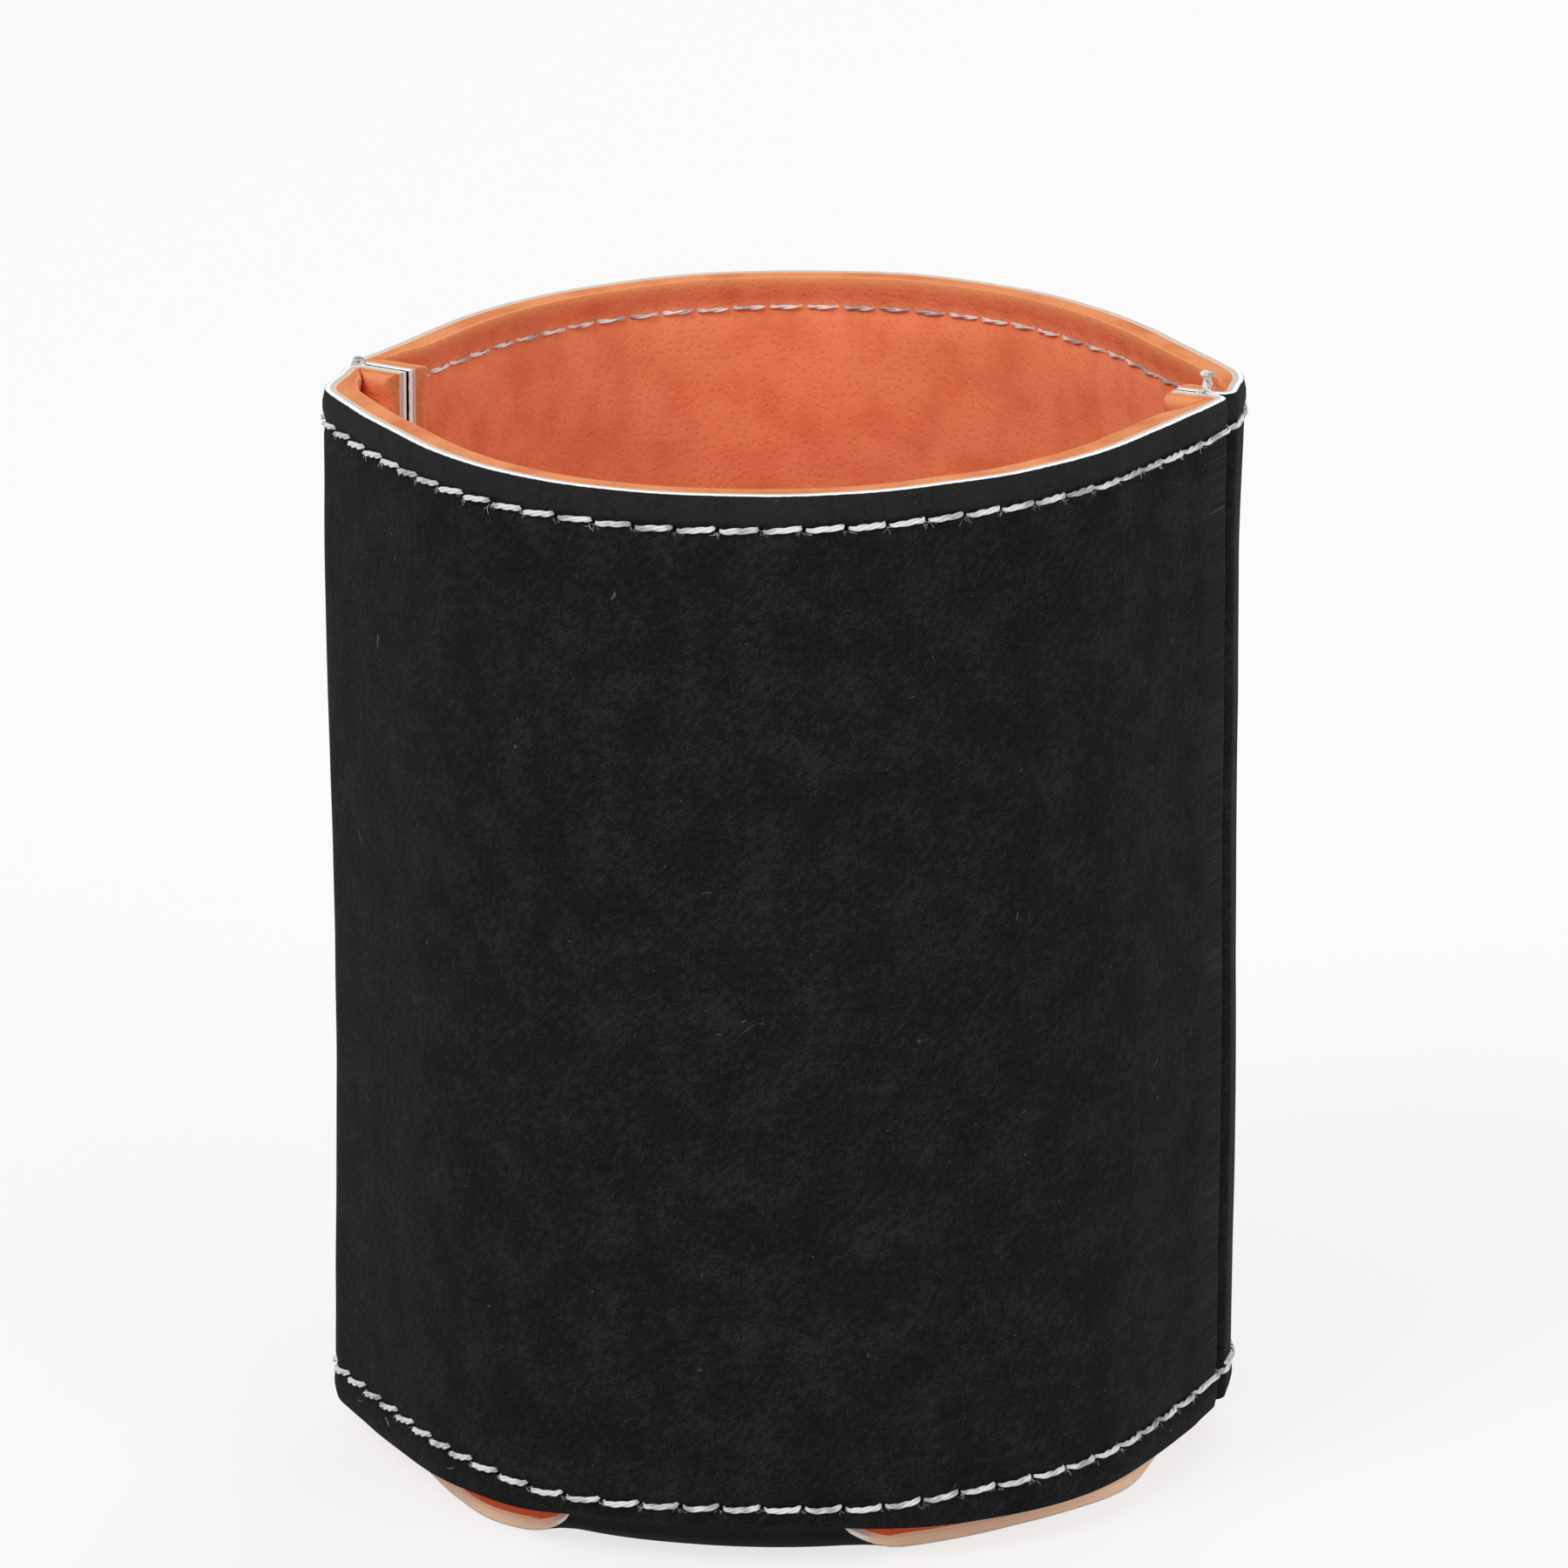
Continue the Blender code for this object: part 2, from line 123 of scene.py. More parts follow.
# The bottom hem's unevenness: (degrees from +X, how low its edge hangs, how high its stitching sits)
HEM_STRAY = (
    (-172.0, -0.00025, 0.00075),
    (-158.0, 0.00015, 0.00070),
    (-145.0, 0.00030, 0.00060),
    (-135.0, 0.00020, 0.00060),
    (-124.0, -0.00018, 0.00055),
    (-112.0, 0.0, -0.00005),
    (-100.0, 0.0, 0.0),
    (-85.0, 0.0, 0.00020),
    (-68.0, 0.0, -0.00015),
    (-57.0, 0.00028, 0.00015),
    (-40.0, 0.00034, 0.00038),
    (-23.0, 0.00030, 0.00040),
    (-10.0, 0.00016, 0.00060),
    (2.0, -0.00040, 0.00090),
    (14.0, -0.00020, 0.00050),
    (30.0, 0.0, 0.0),
    (150.0, 0.0, 0.0),
)

# How far the base's free edges stand out beyond its round: (degrees from +X, metres)
BASE_SWELL = (
    (-150.0, -0.0003),
    (-138.0, 0.0004),
    (-126.0, 0.0015),
    (-114.0, 0.0006),
    (-90.0, 0.0),
    (-46.0, -0.0014),
    (-34.0, -0.0010),
    (-20.0, 0.0),
    (-6.0, -0.0004),
    (90.0, 0.0),
)

# Side seams and stitching
RIGHT_SEAM_DEG = 4.5
LEFT_SEAM_DEG = 175.7
RIGHT_ALLOWANCE_DEG = 164.4
LEFT_ALLOWANCE_DEG = -28.0
RIGHT_ALLOWANCE = 0.0048
LEFT_ALLOWANCE = 0.0061
SEAM_GAP = 0.0003
SEAM_TURN = 0.0015
PITCH = 0.00365
TOP_ROW_DROP = 0.0029
BOTTOM_ROW_RISE = 0.00245
HEM_STRAY_REACH = 0.0150
ROW_START = 0.00275
SEAM_END = 0.0015

# Relief of the sheet
GLUE_LINE = 0.00002
GROOVE_DEPTH = 0.00017
GROOVE_WIDTH = 0.0008
HOLE_DENT = 0.00020
HOLE_WIDTH = 0.00042
FOAM_PINCH = 0.00050
HEM_BULGE = 0.00010
EDGE_ROLL = 0.00016
RIM_SWELL = 0.00020
RIM_ROUND = 0.00030
WAVE = 0.00014
RIM_WAVE = 0.00012
LONG_WAVES_PER_M = 45.0
SHORT_WAVES_PER_M = 130.0
SHORT_WAVE_SHARE = 0.35
RIM_WAVES_PER_M = 110.0

# Foam squeezed at a side seam: how much, how far along the wall, its lips, crease and round edges
SEAM_SQUEEZE = 0.0009
SQUEEZE_REACH = 0.0050
SEAM_LIP = 0.0008
CREASE_SHARE = 0.10
FIN_ROUND = 0.0008

# The cut edges: (share of the layer's depth, metres that the edge stands out there)
LEATHER_EDGE = ((0.0, -0.00005), (0.08, 0.0), (0.38, 0.00004), (0.75, 0.0), (1.0, -0.00003))
FOAM_EDGE = ((0.0, -0.00004), (0.16, 0.00004), (0.5, 0.00008), (0.84, 0.00003), (1.0, -0.00003))

# Threads
PLIES = 3
NEEDLE_RADIUS = 0.00027
BOBBIN_RADIUS = 0.00021
PLY_TURN = 0.0038
HOLE_DEPTH = 0.00040
STITCH_INSET = 0.00012
STITCH_RISE = 0.00050
STITCH_TAPER = 0.00110
TOP_TILT = 0.00020
BOTTOM_TILT = 0.00026
BOTTOM_SAG = 0.00016
TAIL_HEIGHT = 0.0020
TAIL_RADIUS = 0.00025
TAIL_TURNS = 1.1
TAIL_REACH = 0.0018
KNOT_LENGTH = 0.0013
KNOT_REACH = 0.0006
STITCH_STRAY = 0.00005
TAIL_PLY_TURN = 0.0016
KNOT_RADIUS = 0.00021
KNOT_PLY_TURN = 0.0013
BACK_TACKS = 2
FIBRES_PER_HOLE = 7
HAIRS = 4
FIBRE_RADIUS = 0.000016

# Where a seam's thread lies in its turn, and how the parts of the sheet are set out when it is laid flat
SEAM_THREAD_SHARE = 0.62
BACK_FLAT_SHIFT = 0.2
BASE_FLAT_SHIFT = 0.1

# How finely the surfaces are divided
SHARP_EDGE_DEG = 50.0
COLUMNS_PER_STITCH = 5
WALL_STEP = 0.0017
FINE_STEP = 0.0003
FINE_REACH = 0.0012
EDGE_OFFSETS = (0.0, 0.0001, 0.0003, 0.0006, 0.0010)
TURN_STEPS = 10
FIN_STEPS = 3
FIN_ROUND_STEPS = 4
SIDE_STEP_DEG = 1.0
TAIL_STEPS = 56
KNOT_STEPS = 12
FOLD_STEPS = 6
TIP_RINGS = 4
FLOOR_SHARES = (0.94, 0.8, 0.6, 0.4, 0.2)
OUTLINE_STEP_DEG = 0.5
TANGENT_STEP = 0.0009

# Sizes that follow
STACK = LEATHER + LAYER_GAP + FOAM
FOAM_DEPTH = LEATHER + GLUE_LINE
HEM_Z = STACK + HEM_CLEARANCE
FLAT_RADIUS = POCKET_RADIUS + BASE_LAP - BASE_EDGE_BAND
TURN_ROOM = SEAM_TURN + STACK + SEAM_GAP
TIP_ANGLE = math.acos(1.0 - HEM_Z / FOLD_HEIGHT)
TOP_ROW_Z = HEIGHT - TOP_ROW_DROP
BOTTOM_ROW_Z = HEM_Z + BOTTOM_ROW_RISE
LEAN_HEIGHTS = (HEIGHT, 0.0800, 0.0360, HEM_Z)

# The photograph's camera
CAMERA_TURN_DEG = 9.2
CAMERA_RISE_DEG = 15.6
CAMERA_DISTANCE = 1.0
CAMERA_LENS_MM = 260.94
CAMERA_SENSOR_MM = 36.0
CAMERA_TARGET = (-0.00023, 0.0, 0.05992)
CAMERA_NEAR = 0.05
CAMERA_FAR = 20.0

# Colours: the skin, its top band lighter with painted light from above, the base's edge with painted orange
# bounce light and its line of painted shade, the cut edge's painted orange bounce light from the foam, and
# the foam
SKIN_LIGHT = (0.0190, 0.0190, 0.0192)
SKIN_DARK = (0.0066, 0.0066, 0.0067)
# The top band's lighter colour is painted light from above.
SKIN_TOP_BAND_PAINTED_LIGHT = (0.0190, 0.0190, 0.0192)
# The base edge's peach is painted orange bounce light on the pale cut edge.
BASE_EDGE_PAINTED_BOUNCE = (0.86, 0.61, 0.43)
# The orange on the cut edge next to the foam is painted bounce light.
EDGE_FOAM_BOUNCE_PAINTED = (0.82, 0.50, 0.29)
# The dark red line along the base is painted shade on the foam's edge.
BASE_LINE_PAINTED_SHADE = (0.66, 0.085, 0.030)
SPECK = (0.10, 0.10, 0.10)
# The needle holes' near black is painted shade.
NEEDLE_HOLE_SHADE = (0.001, 0.001, 0.001)
BACKING = ((0.36, 0.35, 0.34), (0.64, 0.63, 0.62))
# The cut edge's white line is a painted highlight on its outer corner.
WHITE_LINE_PAINTED_HIGHLIGHT = (0.88, 0.88, 0.88)
SKIN_RIM = (0.04, 0.04, 0.04)
THREAD_SHADES = ((0.40, 0.395, 0.385), (0.88, 0.87, 0.86))
THREAD_FIBRE = (0.28, 0.275, 0.265)
FOAM_FACE = ((0.87, 0.27, 0.130), (0.74, 0.190, 0.082))
FOAM_CUT = ((0.74, 0.28, 0.115), (0.57, 0.165, 0.058))

# The stage: the floor's share of plain white and its size, the surroundings, and the lamps
FLOOR_GLOW = 0.75
FLOOR_HALF = 6.0
FLOOR_DROP = 0.0001
WORLD_LEVEL = 0.55
LAMPS = (
    ("key", (-0.75, -1.15, 1.35), 0.9, 15.0),
    ("fill", (1.25, -0.95, 0.85), 1.1, 8.2),
    ("back", (0.35, 1.25, 1.25), 1.0, 8.0),
)

UP = Vector((0.0, 0.0, 1.0))


# Curves through named points


def catmull_rom(points, degrees, column=1):
    """A smooth periodic curve through (degrees, values) points, round the full turn."""
    count = len(points)
    angle = (degrees - points[0][0]) % 360.0 + points[0][0]
    first = max(i for i in range(count) if points[i][0] <= angle)
    ring = []
    for i in range(first - 1, first + 3):
        ring.append((points[i % count][0] + 360.0 * (i // count), points[i % count][column]))
    (a0, r0), (a1, r1), (a2, r2), (a3, r3) = ring
    span = a2 - a1
    t = (angle - a1) / span
    slope1 = (r2 - r0) / (a2 - a0) * span
    slope2 = (r3 - r1) / (a3 - a1) * span
    value = r1 * (2 * t**3 - 3 * t**2 + 1) + r2 * (3 * t**2 - 2 * t**3)
    return value + slope1 * (t**3 - 2 * t**2 + t) + slope2 * (t**3 - t**2)


def smoothstep(x):
    x = min(1.0, max(0.0, x))
    return x * x * (3.0 - 2.0 * x)


def bell(distance, width):
    return math.exp(-((distance / width) ** 2))


def direction(degrees):
    return Vector((math.cos(math.radians(degrees)), math.sin(math.radians(degrees))))


def outline_point(degrees):
    return direction(degrees) * (POCKET_RADIUS + STACK + catmull_rom(SWELL, degrees))


def left_of(vector):
    """The plan vector turned a quarter turn counterclockwise: inwards on a counterclockwise path."""
    return Vector((-vector.y, vector.x))


def lean_at(degrees, z):
    """How far the wall stands out from the rim's outline at height z."""
    lower = next((i for i in (1, 2) if z >= LEAN_HEIGHTS[i]), 3)
    share = smoothstep((LEAN_HEIGHTS[lower - 1] - z) / (LEAN_HEIGHTS[lower - 1] - LEAN_HEIGHTS[lower]))
    above = catmull_rom(LEAN, degrees, lower)
    below = catmull_rom(LEAN, degrees, lower + 1)
    return above + (below - above) * share


def leaned(point, weight):
    """The point moved out from the pocket's axis by the wall's lean."""
    if weight <= 0.0:
        return point
    plan = point.to_2d()
    out = plan.normalized()
    push = weight * lean_at(math.degrees(math.atan2(plan.y, plan.x)), point.z)
    return Vector((point.x + out.x * push, point.y + out.y * push, point.z))


# The sheet's shape


def row_distance(z):
    """Signed distance to the nearer row of hem stitching."""
    if z > HEIGHT / 2:
        return z - TOP_ROW_Z
    return z - BOTTOM_ROW_Z


def rounding(distance, radius):
    """How far a rounded edge of this radius has dropped, this far from its end."""
    beyond = min(1.0, max(0.0, 1.0 - distance / radius))
    return radius * (1.0 - math.sqrt(1.0 - beyond * beyond))


def waves(point, depth):
    """Soft chance unevenness of the walls, less on the foam's side."""
    share = 1.0 - 0.5 * min(1.0, depth / STACK)
    long = noise.noise(point * LONG_WAVES_PER_M)
    short = noise.noise(point * SHORT_WAVES_PER_M + Vector((7.0, 3.0, 1.0)))
    return WAVE * share * (long + SHORT_WAVE_SHARE * short)


class Seam:
    """A side seam: its place round the outline, and its allowances' direction and length."""

    def __init__(self, degrees, aim_degrees, allowance):
        self.degrees = degrees
        self.aim = direction(aim_degrees)
        self.allowance = allowance


class Panel:
    """One panel's outer face in plan, followed counterclockwise from seam to seam."""

    def __init__(self, start, end):
        start_deg = start.degrees
        end_deg = end.degrees if end.degrees > start_deg else end.degrees + 360.0
        steps = round((end_deg - start_deg) / OUTLINE_STEP_DEG)
        turn = (end_deg - start_deg) / steps
        self.points = [outline_point(start_deg + turn * i) for i in range(steps + 1)]
        self.lengths = [0.0]
        for a, b in zip(self.points, self.points[1:]):
            self.lengths.append(self.lengths[-1] + (b - a).length)
        self.length = self.lengths[-1]
        self.first = TURN_ROOM
        self.last = self.length - TURN_ROOM
        self.middle = self.length / 2
        self.row_start = ROW_START
        row_length = self.length - 2 * ROW_START
        self.stitches = round(row_length / PITCH)
        self.pitch = row_length / self.stitches
        self.frames = {}
        self.start_corner = Corner(self, self.first, self.points[0], start, -1)
        self.end_corner = Corner(self, self.last, self.points[-1], end, 1)

    def on_outline(self, s):
        i = min(max(bisect.bisect_right(self.lengths, s) - 1, 0), len(self.points) - 2)
        a, b = self.points[i], self.points[i + 1]
        return a.lerp(b, (s - self.lengths[i]) / (self.lengths[i + 1] - self.lengths[i]))

    def frame(self, s):
        """The outer face's point and the direction along it. Next to a seam the face runs straight."""
        if s not in self.frames:
            inside = min(max(s, self.first), self.last)
            ahead = self.on_outline(inside + TANGENT_STEP)
            along = (ahead - self.on_outline(inside - TANGENT_STEP)).normalized()
            self.frames[s] = (self.on_outline(inside) + along * (s - inside), along)
        return self.frames[s]

    def curl(self, s):
        """1 across the neck, falling to 0 along the free hem beside it."""
        beyond = abs(s - self.middle) - NECK_WIDTH / 2
        return max(0.0, 1.0 - max(0.0, beyond) / TIP_REACH) ** 2

    def tuck(self, s, share):
        """How far the neck pulls a wide panel in, most at its foot. share is 0 there and 1 at the rim."""
        plan = self.frame(s)[0]
        excess = max(0.0, plan.length - FLAT_RADIUS - FOLD_REACH)
        beyond = max(0.0, abs(s - self.middle) - NECK_WIDTH / 2)
        return excess * math.exp(-((beyond / TUCK_SPREAD) ** 2)) * max(0.0, 1.0 - 2.0 * share)

    def outer(self, s, z):
        """The plain outer face at height z, drawn in above the fold."""
        plan = self.frame(s)[0]
        share = max(0.0, (z - FOLD_HEIGHT) / (HEIGHT - FOLD_HEIGHT))
        plan = plan - plan.normalized() * self.tuck(s, share)
        if z < FOLD_HEIGHT:
            drawn_in = (plan.length - FLAT_RADIUS) * (1.0 - self.fold_reach(z)) * self.curl(s)
            plan = plan - plan.normalized() * drawn_in
        return Vector((plan.x, plan.y, z))

    def fold_reach(self, z):
        """The share of its full reach that the fold has at height z."""
        return math.sin(math.acos(1.0 - min(z, FOLD_HEIGHT) / FOLD_HEIGHT))

    def foot(self, s):
        """The outer face in plan where the wall meets the fold."""
        return self.outer(s, FOLD_HEIGHT).to_2d()

    def inward(self, s, z):
        """The unit normal into the sheet."""
        along = self.outer(s + TANGENT_STEP, z) - self.outer(s - TANGENT_STEP, z)
        up = UP
        if z < FOLD_HEIGHT:
            up = self.outer(s, z + TANGENT_STEP) - self.outer(s, z - TANGENT_STEP)
        return up.cross(along).normalized()

    def lean_weight(self, s, z):
        return 1.0 - self.curl(s) * (1.0 - self.fold_reach(z))

    def relief(self, s, z):
        """How far the outer face and the foam's inner face are pressed in towards the sheet's middle."""
        off_row = row_distance(z)
        to_hole = (s - self.row_start) / self.pitch
        off_hole = (to_hole - round(to_hole)) * self.pitch
        outside = GROOVE_DEPTH * bell(off_row, GROOVE_WIDTH)
        outside += HOLE_DENT * bell(math.hypot(off_row, off_hole), HOLE_WIDTH)
        beyond = max(0.0, off_row / TOP_ROW_DROP if z > HEIGHT / 2 else -off_row / BOTTOM_ROW_RISE)
        outside -= HEM_BULGE * math.sin(math.pi * min(1.0, beyond))
        outside += EDGE_ROLL * smoothstep(2.0 * beyond - 1.0)
        pinched = 0.75 + 0.25 * math.cos(math.tau * to_hole)
        inside = FOAM_PINCH * bell(off_row, 1.5 * GROOVE_WIDTH) * pinched
        inside -= RIM_SWELL * smoothstep(2.0 * beyond - 0.6)
        inside += self.squeeze(s)
        inside += rounding(min(HEIGHT - z, z - HEM_Z), RIM_ROUND)
        return outside, inside

    def squeeze(self, s):
        """How much thinner the wall's foam is beside a seam."""
        to_end = min(s - self.first, self.last - s)
        if to_end < 0.0:
            return 0.0
        return SEAM_SQUEEZE * (1.0 - smoothstep(to_end / SQUEEZE_REACH))

    def face(self, s, z):
        """A function of depth that gives the finished sheet's point there."""
        point, inward = self.outer(s, z), self.inward(s, z)
        weight = self.lean_weight(s, z)
        lift = Vector((0.0, 0.0, edge_lift(point)))
        shift = self.shift(s, z, point, 1.0, 0.0)
        return lambda depth: leaned(point + inward * (depth + shift(depth)) + lift, weight)

    def shift(self, s, z, place, fade, droop):
        """How far in relief and waves move the sheet, as a function of depth. fade 0 takes them away."""
        outside, inside = self.relief(s, z)

        def at(depth):
            into_foam = max(0.0, (depth - LEATHER) / (STACK - LEATHER))
            moved = outside * (1.0 - into_foam) * fade - (inside + droop) * into_foam
            return moved + waves(place, depth) * fade

        return at

    def skin(self, s, z):
        """The outer face's point and the unit normal off it, also round the turns into the seams."""
        corner, beyond = None, 0.0
        if s < self.first:
            corner, beyond = self.start_corner, self.first - s
        if s > self.last:
            corner, beyond = self.end_corner, s - self.last
        if corner is None:
            at = self.face(s, z)
            return at(0.0), (at(0.0) - at(LEATHER)).normalized()
        at = corner.face_at(beyond, z)
        return at(0.0), (at(0.0) - at(LEATHER / 2)).normalized()

    def columns(self):
        """Distances along the panel: even shares of a stitch, with one on each edge of the neck."""
        step = self.pitch / COLUMNS_PER_STITCH
        ends = (self.first, self.middle - NECK_WIDTH / 2, self.middle + NECK_WIDTH / 2, self.last)
        count = math.ceil((self.last - self.row_start) / step)
        free = [self.row_start + step * i for i in range(count)]
        kept = [s for s in free if self.first < s < self.last and min(abs(s - e) for e in ends) > step / 2]
        return sorted(kept + list(ends))


def edge_lift(point):
    """How far the sheet strays upwards: by chance at the rim, and by the table at the bottom hem."""
    rim = smoothstep((point.z - TOP_ROW_Z) / TOP_ROW_DROP)
    chance = RIM_WAVE * rim * noise.noise(Vector((point.x, point.y, 0.0)) * RIM_WAVES_PER_M)
    above = (point.z - BOTTOM_ROW_Z) / HEM_STRAY_REACH
    if above >= 1.0:
        return chance
    degrees = math.degrees(math.atan2(point.y, point.x))
    hem = smoothstep((BOTTOM_ROW_Z - point.z) / BOTTOM_ROW_RISE)
    row = catmull_rom(HEM_STRAY, degrees, 2) * (1.0 - smoothstep(above))
    return row + (-catmull_rom(HEM_STRAY, degrees) - row) * hem


class Corner:
    """Where a panel turns in at a seam: a rounded outer face, and foam squeezed into a crease inside."""

    def __init__(self, panel, s, point, seam, end):
        self.panel = panel
        self.wall_end = s
        self.end = end
        self.wall, along = panel.frame(s)
        self.back_along_wall = along * -end
        self.wall_in = left_of(along)
        self.point = point
        self.aim = seam.aim
        self.allowance = seam.allowance
        self.seam_in = left_of(self.aim) * end
        self.arc = SEAM_TURN * self.wall_in.angle(self.seam_in)
        room = (self.mitre(STACK) - self.wall).dot(-self.back_along_wall)
        self.wall_lip = min(SEAM_LIP, 0.8 * room)
        self.foam_reach = max((self.mitre(STACK) - self.point).dot(self.aim), SEAM_TURN)
        self.fin_lip = min(SEAM_LIP, 0.3 * (self.allowance - self.foam_reach))

    def mitre(self, depth):
        """The point this deep under both the wall's face, where foam is thinner, and the allowance's."""
        a, b = self.wall_in, self.seam_in
        thinner = SEAM_SQUEEZE * max(0.0, depth - LEATHER) / (STACK - LEATHER)
        first = depth - thinner + a.dot(self.wall)
        second = depth + SEAM_GAP / 2 + b.dot(self.point)
        scale = a.x * b.y - a.y * b.x
        return Vector(((first * b.y - second * a.y) / scale, (a.x * second - b.x * first) / scale))

    def turn_point(self, share, depth):
        """share 0 is on the wall's side of the turn, and 1 on the allowance's."""
        if depth < SEAM_TURN:
            return self.mitre(SEAM_TURN) - self.wall_in.slerp(self.seam_in, share) * (SEAM_TURN - depth)
        corner = self.mitre(depth)
        crease = self.mitre(SEAM_TURN + (depth - SEAM_TURN) * CREASE_SHARE)
        lip = self.back_along_wall * self.wall_lip if share < 0.5 else self.aim * self.fin_lip
        lip = lip * ((depth - SEAM_TURN) / (STACK - SEAM_TURN))
        t = abs(2.0 * share - 1.0)
        return crease * (1.0 - t) ** 2 + corner * 2.0 * t * (1.0 - t) + (corner + lip) * t * t

    def allowance_point(self, reach, depth):
        """reach is measured from the seam towards the pocket."""
        return self.point + self.aim * reach + self.seam_in * (SEAM_GAP / 2 + depth)

    def allowance_start(self):
        """Just past the foam's lip."""
        return self.foam_reach + self.fin_lip + SEAM_GAP / 2

    def allowance_reaches(self):
        """(reach, how far the foam has dropped there) from the foam's lip to the allowance's cut end."""
        start = self.allowance_start()
        bend = max(self.allowance - FIN_ROUND, start + SEAM_GAP)
        flat = [(start + (bend - start) * i / FIN_STEPS, 0.0) for i in range(FIN_STEPS)]
        turns = [math.pi / 2 * i / FIN_ROUND_STEPS for i in range(FIN_ROUND_STEPS + 1)]
        room = self.allowance - bend
        return flat + [(bend + room * math.sin(turn), FIN_ROUND * (1.0 - math.cos(turn))) for turn in turns]

    def in_space(self, plan_at, z, beyond, droop=0.0):
        """A function of depth: the plan point there, at height z, shaped and leaned as the wall is."""
        outer = plan_at(0.0)
        place = Vector((outer.x, outer.y, z))
        lift = edge_lift(place)
        fade = 1.0 - smoothstep(beyond / self.arc)
        top_round = rounding(HEIGHT - z, FIN_ROUND) * (1.0 - fade)
        shift = self.panel.shift(self.wall_end + beyond * self.end, z, place, fade, max(droop, top_round))

        def at(depth):
            plan = plan_at(depth + shift(depth))
            return leaned(Vector((plan.x, plan.y, z + lift)), 1.0)

        return at

    def face_at(self, beyond, z):
        """The sheet at this distance past the wall's end: round the turn, then along the allowance."""
        if beyond < self.arc:
            share = beyond / self.arc
            return self.in_space(lambda depth: self.turn_point(share, depth), z, beyond)
        start = (self.mitre(0.0) - self.point).dot(self.aim)
        reach = start + beyond - self.arc
        return self.in_space(lambda depth: self.allowance_point(reach, depth), z, beyond)


# The sheet as a net of samples, which each layer takes at its own depths


class Net:
    def __init__(self):
        self.samples = {}
        self.flat = {}
        self.stitch = {}
        self.faces = []

    def add(self, key, at_depth, flat, stitch=(0.5, 99.0)):
        """flat is the sample's place on the sheet laid flat; stitch is its place along and off a row."""
        self.samples[key] = at_depth
        self.flat[key] = flat
        self.stitch[key] = stitch

    def quad(self, *keys):
        self.faces.append(keys)


def wall_levels():
    """Heights of the rows of samples, close together at the stitching and at the cut edges."""
    fine = [FINE_STEP * i for i in range(-round(FINE_REACH / FINE_STEP), round(FINE_REACH / FINE_STEP) + 1)]
    bottom = [BOTTOM_ROW_Z + off for off in fine]
    top = [TOP_ROW_Z + off for off in fine]
    span = top[0] - bottom[-1]
    count = round(span / WALL_STEP)
    middle = [bottom[-1] + span * i / count for i in range(1, count)]
    hem = [HEM_Z + off for off in EDGE_OFFSETS]
    rim = [HEIGHT - off for off in reversed(EDGE_OFFSETS)]
    return hem + bottom + middle + top + rim


def corner_samples(corner, z):
    """(function of depth, distance past the wall's end) round the turn and along the allowance."""
    found = []
    for i in range(TURN_STEPS + 1):
        share = i / TURN_STEPS
        plan_at = lambda depth, t=share: corner.turn_point(t, depth)
        found.append((corner.in_space(plan_at, z, corner.arc * share), corner.arc * share))
    for reach, droop in corner.allowance_reaches():
        plan_at = lambda depth, r=reach: corner.allowance_point(r, depth)
        beyond = corner.arc + reach
        found.append((corner.in_space(plan_at, z, beyond, droop), beyond))
    return found


def panel_samples(panel, z, columns):
    """(function of depth, distance along the panel) from one allowance's cut end to the other's."""
    start = [(at, panel.first - beyond) for at, beyond in corner_samples(panel.start_corner, z)]
    end = [(at, panel.last + beyond) for at, beyond in corner_samples(panel.end_corner, z)]
    return start[::-1] + [(panel.face(s, z), s) for s in columns] + end


def add_panel(net, name, panel, shift):
    """The upright part of one panel, with both its seam allowances. It returns the neck's columns."""
    columns = panel.columns()
    levels = wall_levels()
    for level, z in enumerate(levels):
        samples = panel_samples(panel, z, columns)
        for i, (at, s) in enumerate(samples):
            stitch = ((s - panel.row_start) / panel.pitch, row_distance(z) * 1000.0)
            net.add((name, i, level), at, (s + shift, z), stitch)
    for level in range(len(levels) - 1):
        for i in range(len(samples) - 1):
            below = ((name, i, level), (name, i + 1, level))
            net.quad(*below, (name, i + 1, level + 1), (name, i, level + 1))
    corner_count = (len(samples) - len(columns)) // 2
    half = NECK_WIDTH / 2 + SEAM_GAP / 10
    return [(corner_count + i, s) for i, s in enumerate(columns) if abs(s - panel.middle) < half]


def fold_sample(plan, fold, weight):
    """A point of the fold under a neck: a quarter of an ellipse from the base up to the wall."""
    out = plan.normalized()
    reach = plan.length - FLAT_RADIUS
    foot = out * (FLAT_RADIUS + reach * math.sin(fold))
    inward = Vector((0.0, 0.0, reach * math.cos(fold)))
    inward -= Vector((out.x, out.y, 0.0)) * FOLD_HEIGHT * math.sin(fold)
    inward.normalize()
    point = Vector((foot.x, foot.y, FOLD_HEIGHT * (1.0 - math.cos(fold))))

    def at(depth):
        return leaned(point + inward * depth, weight * math.sin(fold))

    return at


def add_neck(net, name, panel, edge_columns):
    """The neck from the hem's level down to the flat base."""
    folds = [TIP_ANGLE * i / FOLD_STEPS for i in range(FOLD_STEPS)]
    for index, s in edge_columns:
        for ring, fold in enumerate(folds):
            at = fold_sample(panel.foot(s), fold, 1.0)
            key = (name, index, "fold", ring)
            net.add(key, at, base_flat(at(0.0)))
    for (index, _), (after, _) in zip(edge_columns, edge_columns[1:]):
        for ring in range(FOLD_STEPS):
            a, b = (name, index, "fold", ring), (name, after, "fold", ring)
            c, d = neck_key(name, after, ring + 1), neck_key(name, index, ring + 1)
            net.quad(a, b, c, d)


def neck_key(name, index, ring):
    """The neck's last ring of samples is the wall's lowest row."""
    if ring == FOLD_STEPS:
        return (name, index, 0)
    return (name, index, "fold", ring)


def base_flat(point):
    """The base's place on the sheet laid flat, beside the panels."""
    return (point.x - BASE_FLAT_SHIFT, point.y)


